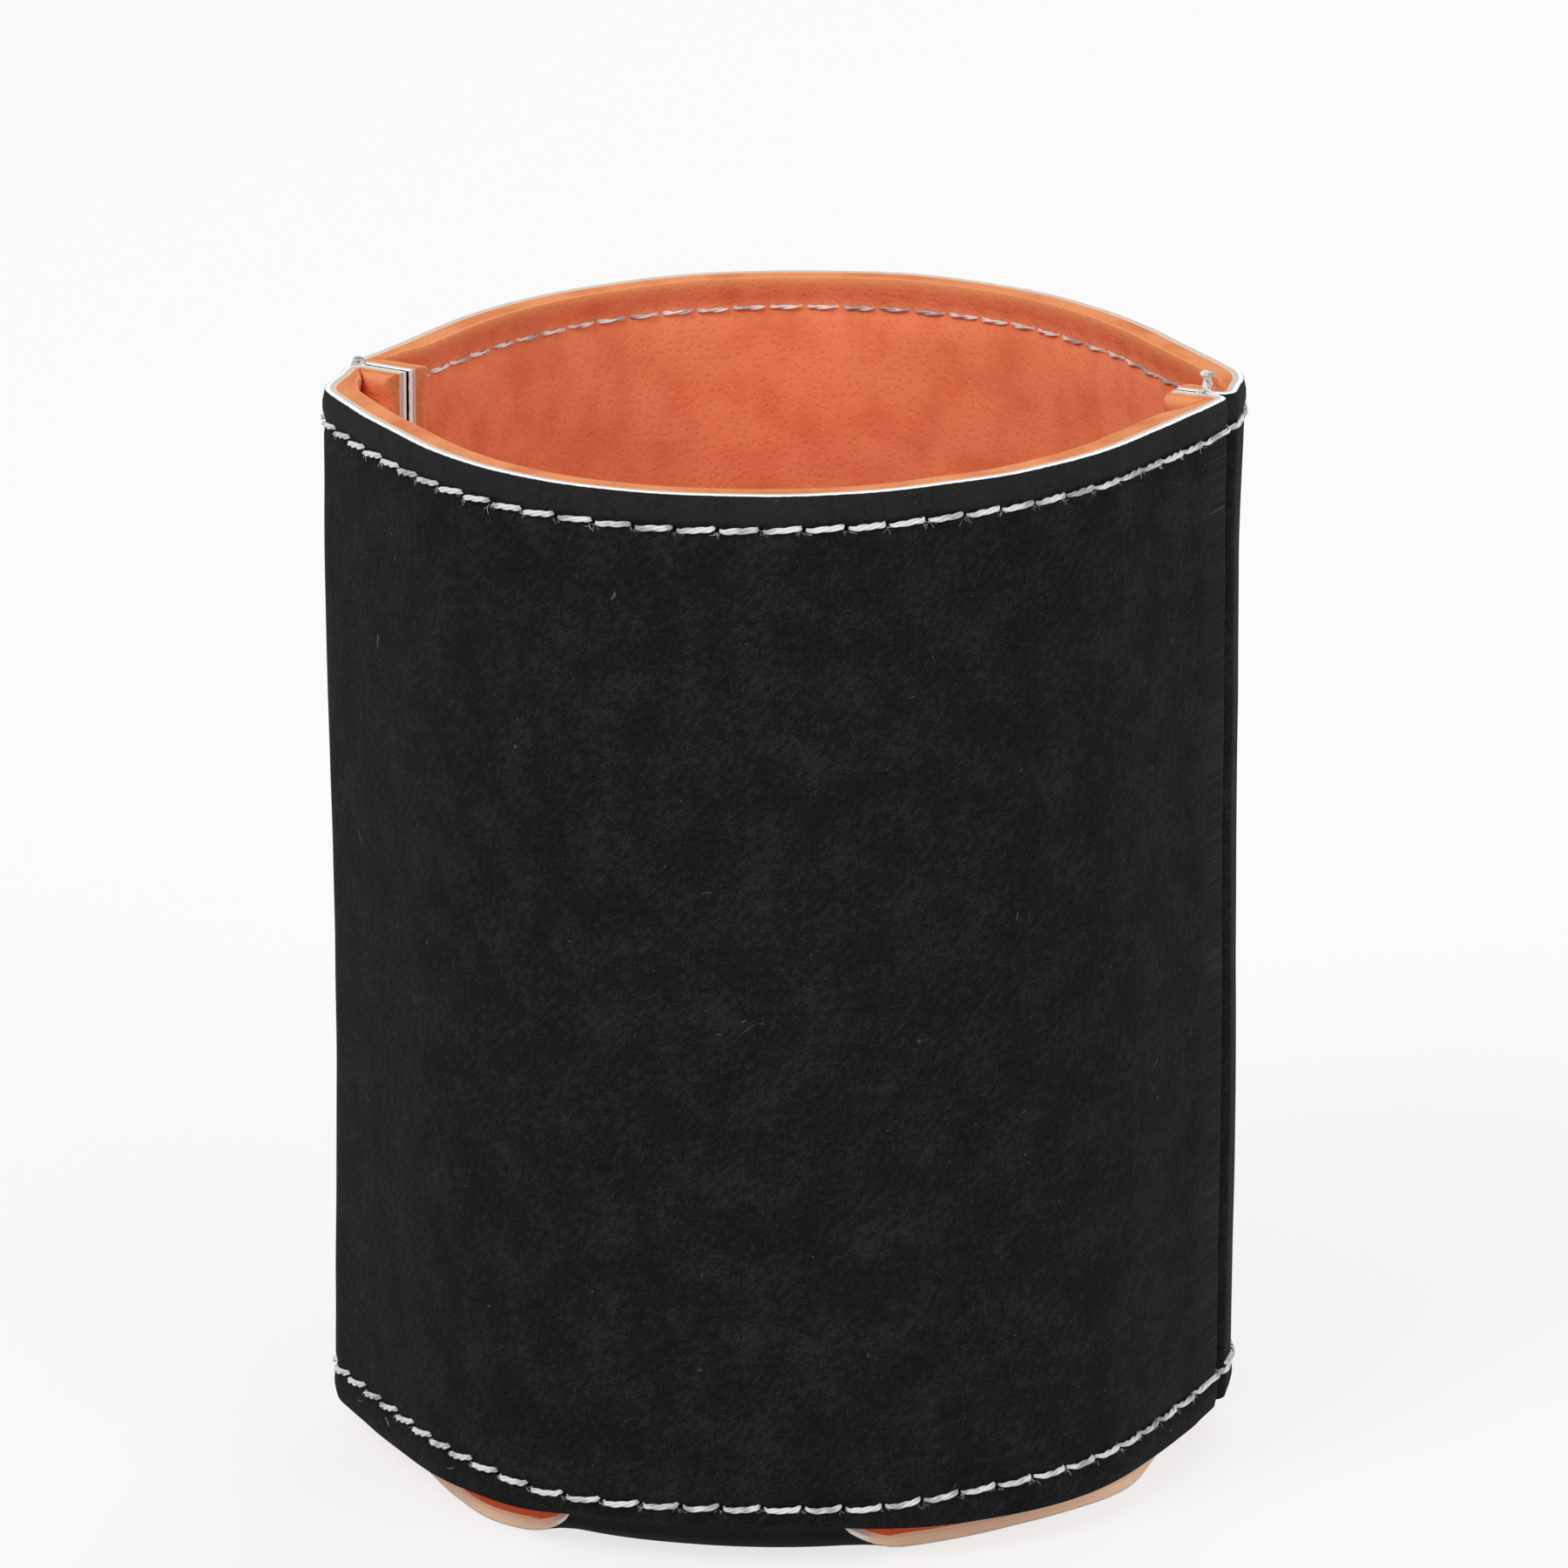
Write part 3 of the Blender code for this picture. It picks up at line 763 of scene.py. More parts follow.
def edge_sample(degrees, tip_plan, lift, fold):
    """The base's free edge band: flat, but lifted towards the fold's shape next to a neck."""
    folded = fold_sample(direction(degrees) * tip_plan.length, fold, lift)
    band = BASE_EDGE_BAND + catmull_rom(BASE_SWELL, degrees)
    flat = (direction(degrees) * (FLAT_RADIUS + band * fold / TIP_ANGLE)).to_3d()
    point = flat.lerp(folded(0.0), lift)
    raised = (flat + Vector((0.0, 0.0, STACK))).lerp(folded(STACK), lift)
    inward = (raised - point).normalized()
    return lambda depth: point + inward * depth


def side_angles(span):
    """Angles along a free side of the base, close together beside the necks."""
    near = [LIFT_REACH_DEG * (i + 1) / (3 * TIP_RINGS) for i in range(3 * TIP_RINGS)]
    inner = span - 2 * LIFT_REACH_DEG
    count = round(inner / SIDE_STEP_DEG)
    middle = [LIFT_REACH_DEG + inner * (i + 1) / count for i in range(count - 1)]
    return near + middle + [span - a for a in reversed(near)]


def add_base_side(net, name, start, end, start_plan, end_plan):
    """The base between two necks, counterclockwise. start and end are (name, index) of the necks' ends."""
    first = math.degrees(math.atan2(start_plan.y, start_plan.x))
    span = (math.degrees(math.atan2(end_plan.y, end_plan.x)) - first) % 360.0
    keys = [start]
    for i, angle in enumerate(side_angles(span)):
        tip_plan = start_plan if angle < span / 2 else end_plan
        beyond = min(angle, span - angle)
        lift = max(0.0, 1.0 - beyond / LIFT_REACH_DEG) ** 2
        for ring in range(FOLD_STEPS + 1):
            at = edge_sample(first + angle, tip_plan, lift, TIP_ANGLE * ring / FOLD_STEPS)
            net.add(neck_key(name, i, ring), at, base_flat(at(0.0)))
        keys.append((name, i))
    keys.append(end)
    for a, b in zip(keys, keys[1:]):
        for ring in range(FOLD_STEPS):
            net.quad(neck_key(*a, ring), neck_key(*b, ring), neck_key(*b, ring + 1), neck_key(*a, ring + 1))
    return keys


def scaled_sample(at_edge, share):
    """A point of the flat base, at this share of the way from its middle to its edge."""

    def at(depth):
        edge = at_edge(0.0)
        return Vector((edge.x * share, edge.y * share, depth))

    return at


def add_floor(net, ring):
    """The flat round of the base, in rings about its middle."""
    outer = [(*key, "fold", 0) for key in ring]
    for number, share in enumerate(FLOOR_SHARES):
        inner = [("floor", number, i) for i in range(len(ring))]
        for key, edge in zip(inner, ring):
            at = scaled_sample(net.samples[(*edge, "fold", 0)], share)
            net.add(key, at, base_flat(at(0.0)))
        add_ring(net, outer, inner)
        outer = inner
    middle = ("floor", "middle")
    net.add(middle, lambda depth: Vector((0.0, 0.0, depth)), base_flat(Vector((0.0, 0.0, 0.0))))
    for a, b in zip(outer, outer[1:] + outer[:1]):
        net.quad(middle, b, a)


def add_ring(net, outer, inner):
    for i in range(len(outer)):
        j = (i + 1) % len(outer)
        net.quad(inner[i], inner[j], outer[j], outer[i])


def sheet_net(front, back):
    net = Net()
    front_neck = add_panel(net, "front", front, 0.0)
    back_neck = add_panel(net, "back", back, BACK_FLAT_SHIFT)
    add_neck(net, "front", front, front_neck)
    add_neck(net, "back", back, back_neck)
    ends = {}
    for name, panel, neck in (("front", front, front_neck), ("back", back, back_neck)):
        ends[name] = [((name, index), panel.foot(s)) for index, s in (neck[0], neck[-1])]
    front_start, front_end = ends["front"]
    back_start, back_end = ends["back"]
    right = add_base_side(net, "right", front_end[0], back_start[0], front_end[1], back_start[1])
    left = add_base_side(net, "left", back_end[0], front_start[0], back_end[1], front_start[1])
    ring = [("front", index) for index, _ in front_neck[:-1]] + right[:-1]
    ring += [("back", index) for index, _ in back_neck[:-1]] + left[:-1]
    add_floor(net, ring)
    return net


# Each layer as a closed mesh


def net_edges(net):
    """The net's cut edges, as pairs of keys in their faces' order."""
    used = set()
    for face in net.faces:
        used.update(zip(face, face[1:] + face[:1]))
    return [(a, b) for a, b in used if (b, a) not in used]


def edge_outwards(net, edges):
    """For each key on a cut edge, the direction out of the sheet, shorter where the edge turns back."""
    outwards = {}
    for a, b in edges:
        along = net.samples[b](0.0) - net.samples[a](0.0)
        if along.length < 1e-7:
            continue
        through = net.samples[a](STACK) - net.samples[a](0.0)
        out = through.cross(along).normalized()
        for key in (a, b):
            outwards.setdefault(key, []).append(out)
    return {key: sum(found, Vector()) / len(found) for key, found in outwards.items()}


def layer_mesh(name, net, outer_depth, inner_depth, profile):
    """One layer with rounded cut edges. Material 0 is its outer face, 1 the edges, 2 the inner face."""
    bm = bmesh.new()
    edges = sorted(net_edges(net), key=str)
    outwards = edge_outwards(net, edges)
    depths = [outer_depth + (inner_depth - outer_depth) * share for share, _ in profile]
    rings = [{} for _ in profile]
    for key, at in net.samples.items():
        for i in (0, len(profile) - 1):
            out = outwards.get(key, Vector()) * profile[i][1]
            rings[i][key] = bm.verts.new(at(depths[i]) + out)
    for i in range(1, len(profile) - 1):
        for key, out in outwards.items():
            rings[i][key] = bm.verts.new(net.samples[key](depths[i]) + out * profile[i][1])
    places = {}
    for ring, (share, _) in zip(rings, profile):
        for key, vert in ring.items():
            places[vert] = (net.flat[key], net.stitch[key], share)
    faces = []
    for face in net.faces:
        faces.append((bm.faces.new([rings[0][key] for key in face]), 0))
        faces.append((bm.faces.new([rings[-1][key] for key in reversed(face)]), 2))
    for a, b in edges:
        for upper, lower in zip(rings, rings[1:]):
            faces.append((bm.faces.new([upper[b], upper[a], lower[a], lower[b]]), 1))
    for face, material in faces:
        face.material_index = material
        face.smooth = True
    write_places(bm, places)
    mesh = bpy.data.meshes.new(name)
    bmesh.ops.recalc_face_normals(bm, faces=bm.faces)
    bm.to_mesh(mesh)
    bm.free()
    mesh.set_sharp_from_angle(angle=math.radians(SHARP_EDGE_DEG))
    return mesh


def write_places(bm, places):
    """UV maps: the sheet laid flat in metres, places along and off the stitching, and the layer's depth."""
    sheet = bm.loops.layers.uv.new("sheet")
    stitch = bm.loops.layers.uv.new("stitch")
    depth = bm.loops.layers.uv.new("depth")
    for face in bm.faces:
        for loop in face.loops:
            flat, along, share = places[loop.vert]
            loop[sheet].uv = flat
            loop[stitch].uv = along
            loop[depth].uv = (share, flat[0] + flat[1])


# Threads


def add_tube(bm, centres, offs, radii, sides):
    """A closed tube along the centres. offs are unit normals off the surface that it lies on."""
    rings = []
    for i, (centre, off, radius) in enumerate(zip(centres, offs, radii)):
        along = (centres[min(i + 1, len(centres) - 1)] - centres[max(i - 1, 0)]).normalized()
        across = off.cross(along).normalized()
        up = along.cross(across)
        ring = []
        for k in range(sides):
            turn = math.tau * k / sides
            ring.append(bm.verts.new(centre + (up * math.cos(turn) + across * math.sin(turn)) * radius))
        rings.append(ring)
    for a, b in zip(rings, rings[1:]):
        for k in range(sides):
            n = (k + 1) % sides
            bm.faces.new((a[k], b[k], b[n], a[n]))
    bm.faces.new(rings[0])
    bm.faces.new(reversed(rings[-1]))


def add_strand(bm, line, radii, plies, turn_length, phase, sides=6):
    """A twisted thread along line, a list of (point, unit normal off the surface)."""
    lay = 0.54 if plies > 2 else 0.48
    ply_share = 0.50 if plies > 2 else 0.56
    travelled = 0.0
    places = []
    for i, (point, off) in enumerate(line):
        if i:
            travelled += (point - line[i - 1][0]).length
        along = (line[min(i + 1, len(line) - 1)][0] - line[max(i - 1, 0)][0]).normalized()
        across = off.cross(along).normalized()
        places.append((point, off, across, phase + math.tau * travelled / turn_length))
    offs = [off for _, off in line]
    ply_radii = [radius * ply_share for radius in radii]
    for ply in range(plies):
        centres = []
        for (point, off, across, angle), radius in zip(places, radii):
            turn = angle + math.tau * ply / plies
            centres.append(point + (off * math.cos(turn) + across * math.sin(turn)) * radius * lay)
        add_tube(bm, centres, offs, ply_radii, sides)


def stitch_height(run, length, radius):
    """The thread's middle above the surface, along a stitch that dives into a hole at both ends."""
    near = min(run, length - run)
    return -HOLE_DEPTH + (HOLE_DEPTH + 0.85 * radius) * smoothstep((near + STITCH_INSET) / STITCH_RISE)


def stitch_fullness(run, length):
    """The thread is drawn thin at both ends of a stitch, and further along at its start."""
    start = 0.62 + 0.38 * smoothstep(run / STITCH_TAPER)
    end = 0.85 + 0.15 * smoothstep((length - run) / (STITCH_TAPER / 2))
    return start * end


def add_stitch(bm, surface, start, length, radius, plies, bend, rng, steps=18):
    """One stitch. surface(run, aside) gives (point, normal); bend(share) is how far it strays aside."""
    line, radii = [], []
    visible = length - 2 * STITCH_INSET
    size = radius * rng.uniform(0.95, 1.06)
    for i in range(steps + 1):
        share = 0.5 - 0.5 * math.cos(math.pi * i / steps)
        run = visible * (0.4 * share + 0.6 * i / steps)
        point, off = surface(start + STITCH_INSET + run, bend((STITCH_INSET + run) / length))
        line.append((point + off * stitch_height(run, visible, radius), off))
        radii.append(size * stitch_fullness(run, visible))
    twist = PLY_TURN * rng.uniform(0.85, 1.15)
    add_strand(bm, line, radii, plies, twist, rng.uniform(0.0, math.tau))


def hem_bend(row, along, rng):
    """Stitches lie aslant, less so to the right, and bottom ones sag. along is 0 to 1 over the row."""
    stray = rng.uniform(-STITCH_STRAY, STITCH_STRAY)
    if row == "top":
        tilt = TOP_TILT * (1.1 - 0.7 * along) * rng.uniform(0.7, 1.3)
        return lambda share: tilt * (2.0 * share - 1.0) + stray
    tilt = BOTTOM_TILT * (1.1 - along) * rng.uniform(0.8, 1.2)
    sag = BOTTOM_SAG * rng.uniform(0.7, 1.2)
    return lambda share: tilt * (2.0 * share - 1.0) + stray - sag * (4.0 * share * (1.0 - share) - 0.6)


def add_fibre(bm, start, heading, off, length, rng):
    """One fine curled fibre that lies on the surface, a little off it."""
    centres = []
    aside = off.cross(heading).normalized()
    curl = rng.uniform(-0.8, 0.8) * length
    for i in range(5):
        t = i / 4
        centres.append(start + heading * length * t + aside * curl * t * t + off * (0.00004 + 0.00012 * t))
    add_tube(bm, centres, [off] * 5, [FIBRE_RADIUS] * 5, 3)


def add_fuzz(bm, surface, hole, rng):
    """Loose fibres of thread and nap under a needle hole."""
    for _ in range(FIBRES_PER_HOLE):
        point, off = surface(hole + rng.uniform(-0.0004, 0.0004), rng.uniform(-0.0004, -0.0001))
        ahead, _ = surface(hole + 0.0008, 0.0)
        along = (ahead - point).normalized()
        down = off.cross(along).normalized()
        turn = rng.gauss(0.0, 0.8)
        heading = down * -math.cos(turn) + along * math.sin(turn)
        if heading.z > 0.0:
            heading = -heading
        add_fibre(bm, point, heading, off, rng.uniform(0.00025, 0.0006), rng)


def add_object(name, data):
    made = bpy.data.objects.new(name, data)
    bpy.context.scene.collection.objects.link(made)
    return made


def add_piece(name, mesh, node):
    """A piece of the scene that rides on the one body and shows in place of a node of the frame."""
    piece = add_object(name, mesh)
    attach(piece, "root")
    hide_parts(node)
    return piece


def thread_object(name, bm, node):
    mesh = bpy.data.meshes.new(name)
    bmesh.ops.recalc_face_normals(bm, faces=bm.faces)
    bm.to_mesh(mesh)
    bm.free()
    mesh.shade_smooth()
    return add_piece(name, mesh, node)


def hem_needle_thread(panel_name, panel, row, z):
    rng = random.Random(f"{panel_name} {row} needle")
    bm = bmesh.new()
    surface = lambda s, aside: panel.skin(s, z + aside)
    for i in range(panel.stitches):
        start = panel.row_start + panel.pitch * i
        bend = hem_bend(row, i / (panel.stitches - 1), rng)
        add_stitch(bm, surface, start, panel.pitch, NEEDLE_RADIUS, PLIES, bend, rng)
        add_fuzz(bm, surface, start, rng)
    if row == "bottom" and panel_name == "back":
        add_back_tacks(bm, surface, panel, rng)
    if row == "bottom" and panel_name == "front":
        add_hairs(bm, surface, panel, rng)
    return thread_object(f"{row}_stitches_{panel_name}", bm, f"{row}_stitching_{panel_name}")


def add_back_tacks(bm, surface, panel, rng):
    """The row's first stitches are sewn over a second time, half a stitch along and a little higher."""
    for i in range(BACK_TACKS):
        start = panel.row_start + panel.pitch * (i + 0.4)
        rise = rng.uniform(0.0003, 0.0005)
        add_stitch(bm, surface, start, panel.pitch, NEEDLE_RADIUS, PLIES, lambda share: rise, rng)


def add_hairs(bm, surface, panel, rng):
    """A few loose hairs on the hem, below the stitching."""
    for _ in range(HAIRS):
        point, off = surface(rng.uniform(panel.first, panel.last), rng.uniform(-0.0014, -0.0008))
        across = off.cross(UP).normalized()
        turn = rng.uniform(0.0, math.tau)
        heading = across * math.cos(turn) + UP * math.sin(turn)
        add_fibre(bm, point, heading, off, rng.uniform(0.0004, 0.0009), rng)


def straight(rng):
    """A stitch that strays only a little, all along."""
    stray = rng.uniform(-STITCH_STRAY, STITCH_STRAY)
    return lambda share: stray


def hem_bobbin_thread(panel_name, panel, row, z):
    rng = random.Random(f"{panel_name} {row} bobbin")
    bm = bmesh.new()

    def surface(s, aside):
        at = panel.face(s, z + aside)
        return at(STACK), (at(STACK) - at(LEATHER)).normalized()

    first = math.ceil((panel.first - panel.row_start) / panel.pitch)
    last = math.floor((panel.last - panel.row_start) / panel.pitch)
    for i in range(first, last):
        start = panel.row_start + panel.pitch * i
        add_stitch(bm, surface, start, panel.pitch, BOBBIN_RADIUS, 2, straight(rng), rng, steps=12)
    for corner in (panel.start_corner, panel.end_corner):
        add_fin_stitches(bm, corner, z, rng)
    return thread_object(f"{row}_bobbin_stitches_{panel_name}", bm, f"{row}_bobbin_thread_{panel_name}")


def add_fin_stitches(bm, corner, z, rng):
    """The hem row's bobbin stitches on an allowance's foam, run off at its cut end."""

    def surface(reach, aside):
        plan_at = lambda depth: corner.allowance_point(reach, depth)
        at = corner.in_space(plan_at, z + aside, corner.arc + reach)
        return at(STACK), corner.seam_in.to_3d()

    hole = corner.allowance - FIN_ROUND
    start = max(corner.allowance_start(), hole - PITCH)
    add_stitch(bm, surface, start, hole - start, BOBBIN_RADIUS, 2, straight(rng), rng, steps=12)


def seam_thread(side, name, corner):
    """The side seam's stitches, deep in the crease on one allowance's side."""
    rng = random.Random(f"{side} {name} seam")
    bm = bmesh.new()
    plan = corner.turn_point(SEAM_THREAD_SHARE, STACK)
    off = corner.seam_in.to_3d()
    surface = lambda z, aside: (leaned(Vector((plan.x, plan.y, z)), 1.0) + corner.aim.to_3d() * aside, off)
    start, end = HEM_Z + SEAM_END, HEIGHT - SEAM_END
    count = round((end - start) / PITCH)
    pitch = (end - start) / count
    for i in range(count):
        add_stitch(bm, surface, start + pitch * i, pitch, BOBBIN_RADIUS, 2, straight(rng), rng, steps=12)
    if name == "front":
        add_seam_top(bm, side, corner, rng)
    return thread_object(f"{side}_seam_stitches_{name}", bm, f"{side}_seam_thread_{name}")


def add_seam_top(bm, side, corner, rng):
    """A side seam's end at the rim: a trimmed loop stands up on the right, a small knot on the left."""
    along = corner.aim.to_3d()
    foot = Vector((corner.point.x, corner.point.y, HEIGHT))
    if side == "right":
        add_tail(bm, foot + along * TAIL_REACH, along)
    else:
        add_knot(bm, foot + along * (KNOT_REACH - KNOT_LENGTH / 2), along, rng)


def add_tail(bm, foot, along):
    """Two ends of thread that rise out of the seam twisted round each other, joined in a small loop."""
    aside = along.cross(UP)
    line = []
    for i in range(TAIL_STEPS + 1):
        way = 2.0 * i / TAIL_STEPS - 1.0
        share = 1.0 - abs(way)
        spread = 0.9 + 3.0 * max(0.0, 1.0 - share / 0.40) ** 2
        spread += 1.0 * math.sin(math.pi * smoothstep((share - 0.6) / 0.4))
        spread *= TAIL_RADIUS * math.sqrt(min(1.0, abs(way) / 0.08))
        turn = math.tau * TAIL_TURNS * share
        out = along * math.cos(turn) + aside * math.sin(turn)
        height = TAIL_HEIGHT * math.sin(math.pi / 2 * share) - TAIL_RADIUS
        line.append((foot + out * math.copysign(spread, -way) + UP * height, aside))
    add_strand(bm, line, [TAIL_RADIUS] * len(line), 2, TAIL_PLY_TURN, 0.4)


def add_knot(bm, start, along, rng):
    """The last seam stitches, over the sheet's edge and down again."""
    aside = along.cross(UP)
    for k, height in ((-1, 0.0007), (0, 0.0009), (1, 0.0007), (-1, 0.0003), (0, 0.0002), (1, 0.0003)):
        line = []
        for i in range(KNOT_STEPS + 1):
            t = i / KNOT_STEPS
            rise = height * math.sin(math.pi * t) ** 0.7 - 0.0004
            stray = aside * (0.00028 * k + 0.0001 * math.sin(5.0 * t + k))
            line.append((start + along * (KNOT_LENGTH * (t + 0.12 * k)) + stray + UP * rise, aside))
        add_strand(bm, line, [KNOT_RADIUS] * len(line), 2, KNOT_PLY_TURN, rng.uniform(0.0, math.tau))


# Materials


class Shader:
    """A short way to write a material's node tree."""

    def __init__(self, name):
        self.material = bpy.data.materials.new(name)
        self.material.use_nodes = True
        self.tree = self.material.node_tree
        self.principled = self.tree.nodes["Principled BSDF"]

    def node(self, kind, inputs=None, **settings):
        made = self.tree.nodes.new(kind)
        for name, value in settings.items():
            setattr(made, name, value)
        for name, value in (inputs or {}).items():
            self.feed(made, name, value)
        return made

    def feed(self, node, name, value):
        """value is an output socket to link, or a plain value for the input."""
        if isinstance(value, bpy.types.NodeSocket):
            self.tree.links.new(value, node.inputs[name])
        else:
            node.inputs[name].default_value = value

    def math(self, operation, *values):
        made = self.node("ShaderNodeMath", operation=operation)
        for i, value in enumerate(values):
            self.feed(made, i, value)
        return made.outputs[0]

    def place(self):
        return self.node("ShaderNodeTexCoord").outputs["Object"]

    def split(self, vector):
        """The outputs X, Y and Z of a vector."""
        return self.node("ShaderNodeSeparateXYZ", {"Vector": vector}).outputs

    def uv(self, name):
        return self.node("ShaderNodeUVMap", uv_map=name).outputs[0]

    def mapping(self, vector, scale):
        return self.node("ShaderNodeMapping", {"Vector": vector, "Scale": scale}).outputs[0]

    def noise(self, vector, scale, detail=2.0, roughness=0.5, distortion=0.0):
        inputs = {"Vector": vector, "Scale": scale, "Detail": detail, "Roughness": roughness}
        inputs["Distortion"] = distortion
        return self.node("ShaderNodeTexNoise", inputs).outputs["Fac"]

    def remap(self, value, low, high, to_low=0.0, to_high=1.0):
        inputs = {"Value": value, "From Min": low, "From Max": high, "To Min": to_low, "To Max": to_high}
        return self.node("ShaderNodeMapRange", inputs, interpolation_type="SMOOTHSTEP").outputs[0]

    def mix(self, share, first, second):
        made = self.node("ShaderNodeMix", data_type="RGBA")
        self.feed(made, 0, share)
        self.feed(made, 6, colour(first))
        self.feed(made, 7, colour(second))
        return made.outputs[2]

    def bump(self, height, strength, distance, normal=None):
        inputs = {"Height": height, "Strength": strength, "Distance": distance}
        if normal is not None:
            inputs["Normal"] = normal
        return self.node("ShaderNodeBump", inputs).outputs[0]

    def finish(self, **inputs):
        for name, value in inputs.items():
            self.feed(self.principled, name.replace("_", " "), colour(value))
        return self.material


def colour(value):
    """A colour of three numbers gets its fourth; anything else stays as it is."""
    if isinstance(value, tuple) and len(value) == 3:
        return (*value, 1.0)
    return value


def hole_shade_mask(shader, stitch):
    """1 in a needle hole of the hem stitching, where painted shade goes. stitch is the stitch map's two
    numbers.
    """
    off = shader.math("PINGPONG", stitch["X"], 0.5)
    along = shader.math("POWER", shader.math("MULTIPLY", off, PITCH * 1000.0), 2.0)
    across = shader.math("POWER", stitch["Y"], 2.0)
    distance = shader.math("SQRT", shader.math("ADD", along, across))
    return shader.remap(distance, 0.15, 0.42, 1.0, 0.0)


def nap_tone(shader, sheet):
    """The nap's light and dark: soft clouds, tufts, slanted strokes and fine grain, about 0 to 1."""
    turned = shader.node("ShaderNodeMapping", {"Vector": sheet, "Rotation": (0.0, 0.0, 0.8)})
    slanted = shader.mapping(turned.outputs[0], (1.0, 0.35, 1.0))
    parts = (
        (shader.noise(sheet, 210.0, 2.0, 0.5), 0.24),
        (shader.noise(sheet, 1300.0, 3.0, 0.6, 0.6), 0.24),
        (shader.noise(slanted, 2200.0, 2.0, 0.6), 0.24),
        (shader.noise(sheet, 4200.0, 1.0, 0.5), 0.28),
    )
    total = 0.0
    for part, share in parts:
        total = shader.math("MULTIPLY_ADD", part, share, total)
    return total


def speck_mask(shader, sheet):
    """1 in a few pale specks, one in each of a few of the sheet's cells."""
    stray = shader.node("ShaderNodeTexNoise", {"Vector": sheet, "Scale": 90.0}).outputs["Color"]
    strayed = {0: stray, 1: (0.02, 0.02, 0.0), 2: sheet}
    place = shader.node("ShaderNodeVectorMath", strayed, operation="MULTIPLY_ADD")
    cells = {"Vector": place.outputs[0], "Scale": 700.0, "Randomness": 1.0}
    specks = shader.node("ShaderNodeTexVoronoi", cells, voronoi_dimensions="2D")
    near = shader.remap(specks.outputs["Distance"], 0.04, 0.09, 1.0, 0.0)
    chance = shader.node("ShaderNodeSeparateColor", {"Color": specks.outputs["Color"]}).outputs["Red"]
    return shader.math("MULTIPLY", near, shader.remap(chance, 0.95, 1.0))


def leatherette_skin():
    """Matt black brushed skin: a soft mottled nap, a band at the rim lightened with painted light from
    above, painted shade in the needle holes, and a few pale specks.
    """
    shader = Shader("leatherette_skin")
    sheet = shader.uv("sheet")
    stitch = shader.split(shader.uv("stitch"))
    tone = nap_tone(shader, sheet)
    base = shader.mix(shader.remap(tone, 0.43, 0.64), SKIN_DARK, SKIN_LIGHT)
    height = shader.split(sheet)["Y"]
    # Painted light: the rolled band above the top stitching is made lighter, as where light from above
    # falls on it.
    band = shader.remap(height, TOP_ROW_Z + 0.0002, TOP_ROW_Z + 0.0009)
    patchy_painted_light = shader.math("MULTIPLY", band, shader.remap(tone, 0.36, 0.56, 0.35, 1.0))
    base = shader.mix(patchy_painted_light, base, SKIN_TOP_BAND_PAINTED_LIGHT)
    specks = shader.math("MULTIPLY", speck_mask(shader, sheet), 0.7)
    base = shader.mix(specks, base, SPECK)
    # Painted shade: the needle holes are nearly black.
    base = shader.mix(hole_shade_mask(shader, stitch), base, NEEDLE_HOLE_SHADE)
    normal = shader.bump(tone, 0.6, 0.00025)
    return shader.finish(
        Base_Color=base,
        Roughness=0.85,
        Specular_IOR_Level=0.05,
        Sheen_Weight=0.012,
        Sheen_Roughness=0.4,
        Normal=normal,
    )


def leatherette_edge():
    """The cut edge: a white line painted as its outer corner's highlight, pale grey backing with painted
    orange bounce light from the foam, and painted peach bounce light at the base.
    """
    shader = Shader("leatherette_cut_edge")
    depth = shader.split(shader.uv("depth"))["X"]
    place = shader.place()
    height = shader.split(place)["Z"]
    grit = shader.noise(shader.uv("sheet"), 3000.0, 3.0, 0.6)
    along = shader.noise(shader.mapping(shader.uv("depth"), (1.0, 400.0, 1.0)), 3.0, 2.0)
    edge = shader.math("MULTIPLY_ADD", along, 0.12, depth)
    backing = shader.mix(grit, *BACKING)
    # Painted highlight: a white line along the cut edge's outer corner.
    base = shader.mix(shader.remap(edge, 0.44, 0.60), WHITE_LINE_PAINTED_HIGHLIGHT, backing)
    # Painted orange bounce light from the foam on the cut edge's inner side.
    base = shader.mix(shader.remap(edge, 0.74, 0.96, 0.0, 0.85), base, EDGE_FOAM_BOUNCE_PAINTED)
    # Painted orange bounce light: the cut edge turns peach low at the base.
    base = shader.mix(shader.remap(height, 0.0014, 0.0022, 0.95, 0.0), base, BASE_EDGE_PAINTED_BOUNCE)
    base = shader.mix(shader.remap(edge, 0.08, 0.13), SKIN_RIM, base)
    normal = shader.bump(grit, 0.6, 0.00006)
    return shader.finish(Base_Color=base, Roughness=0.7, Specular_IOR_Level=0.25, Normal=normal)


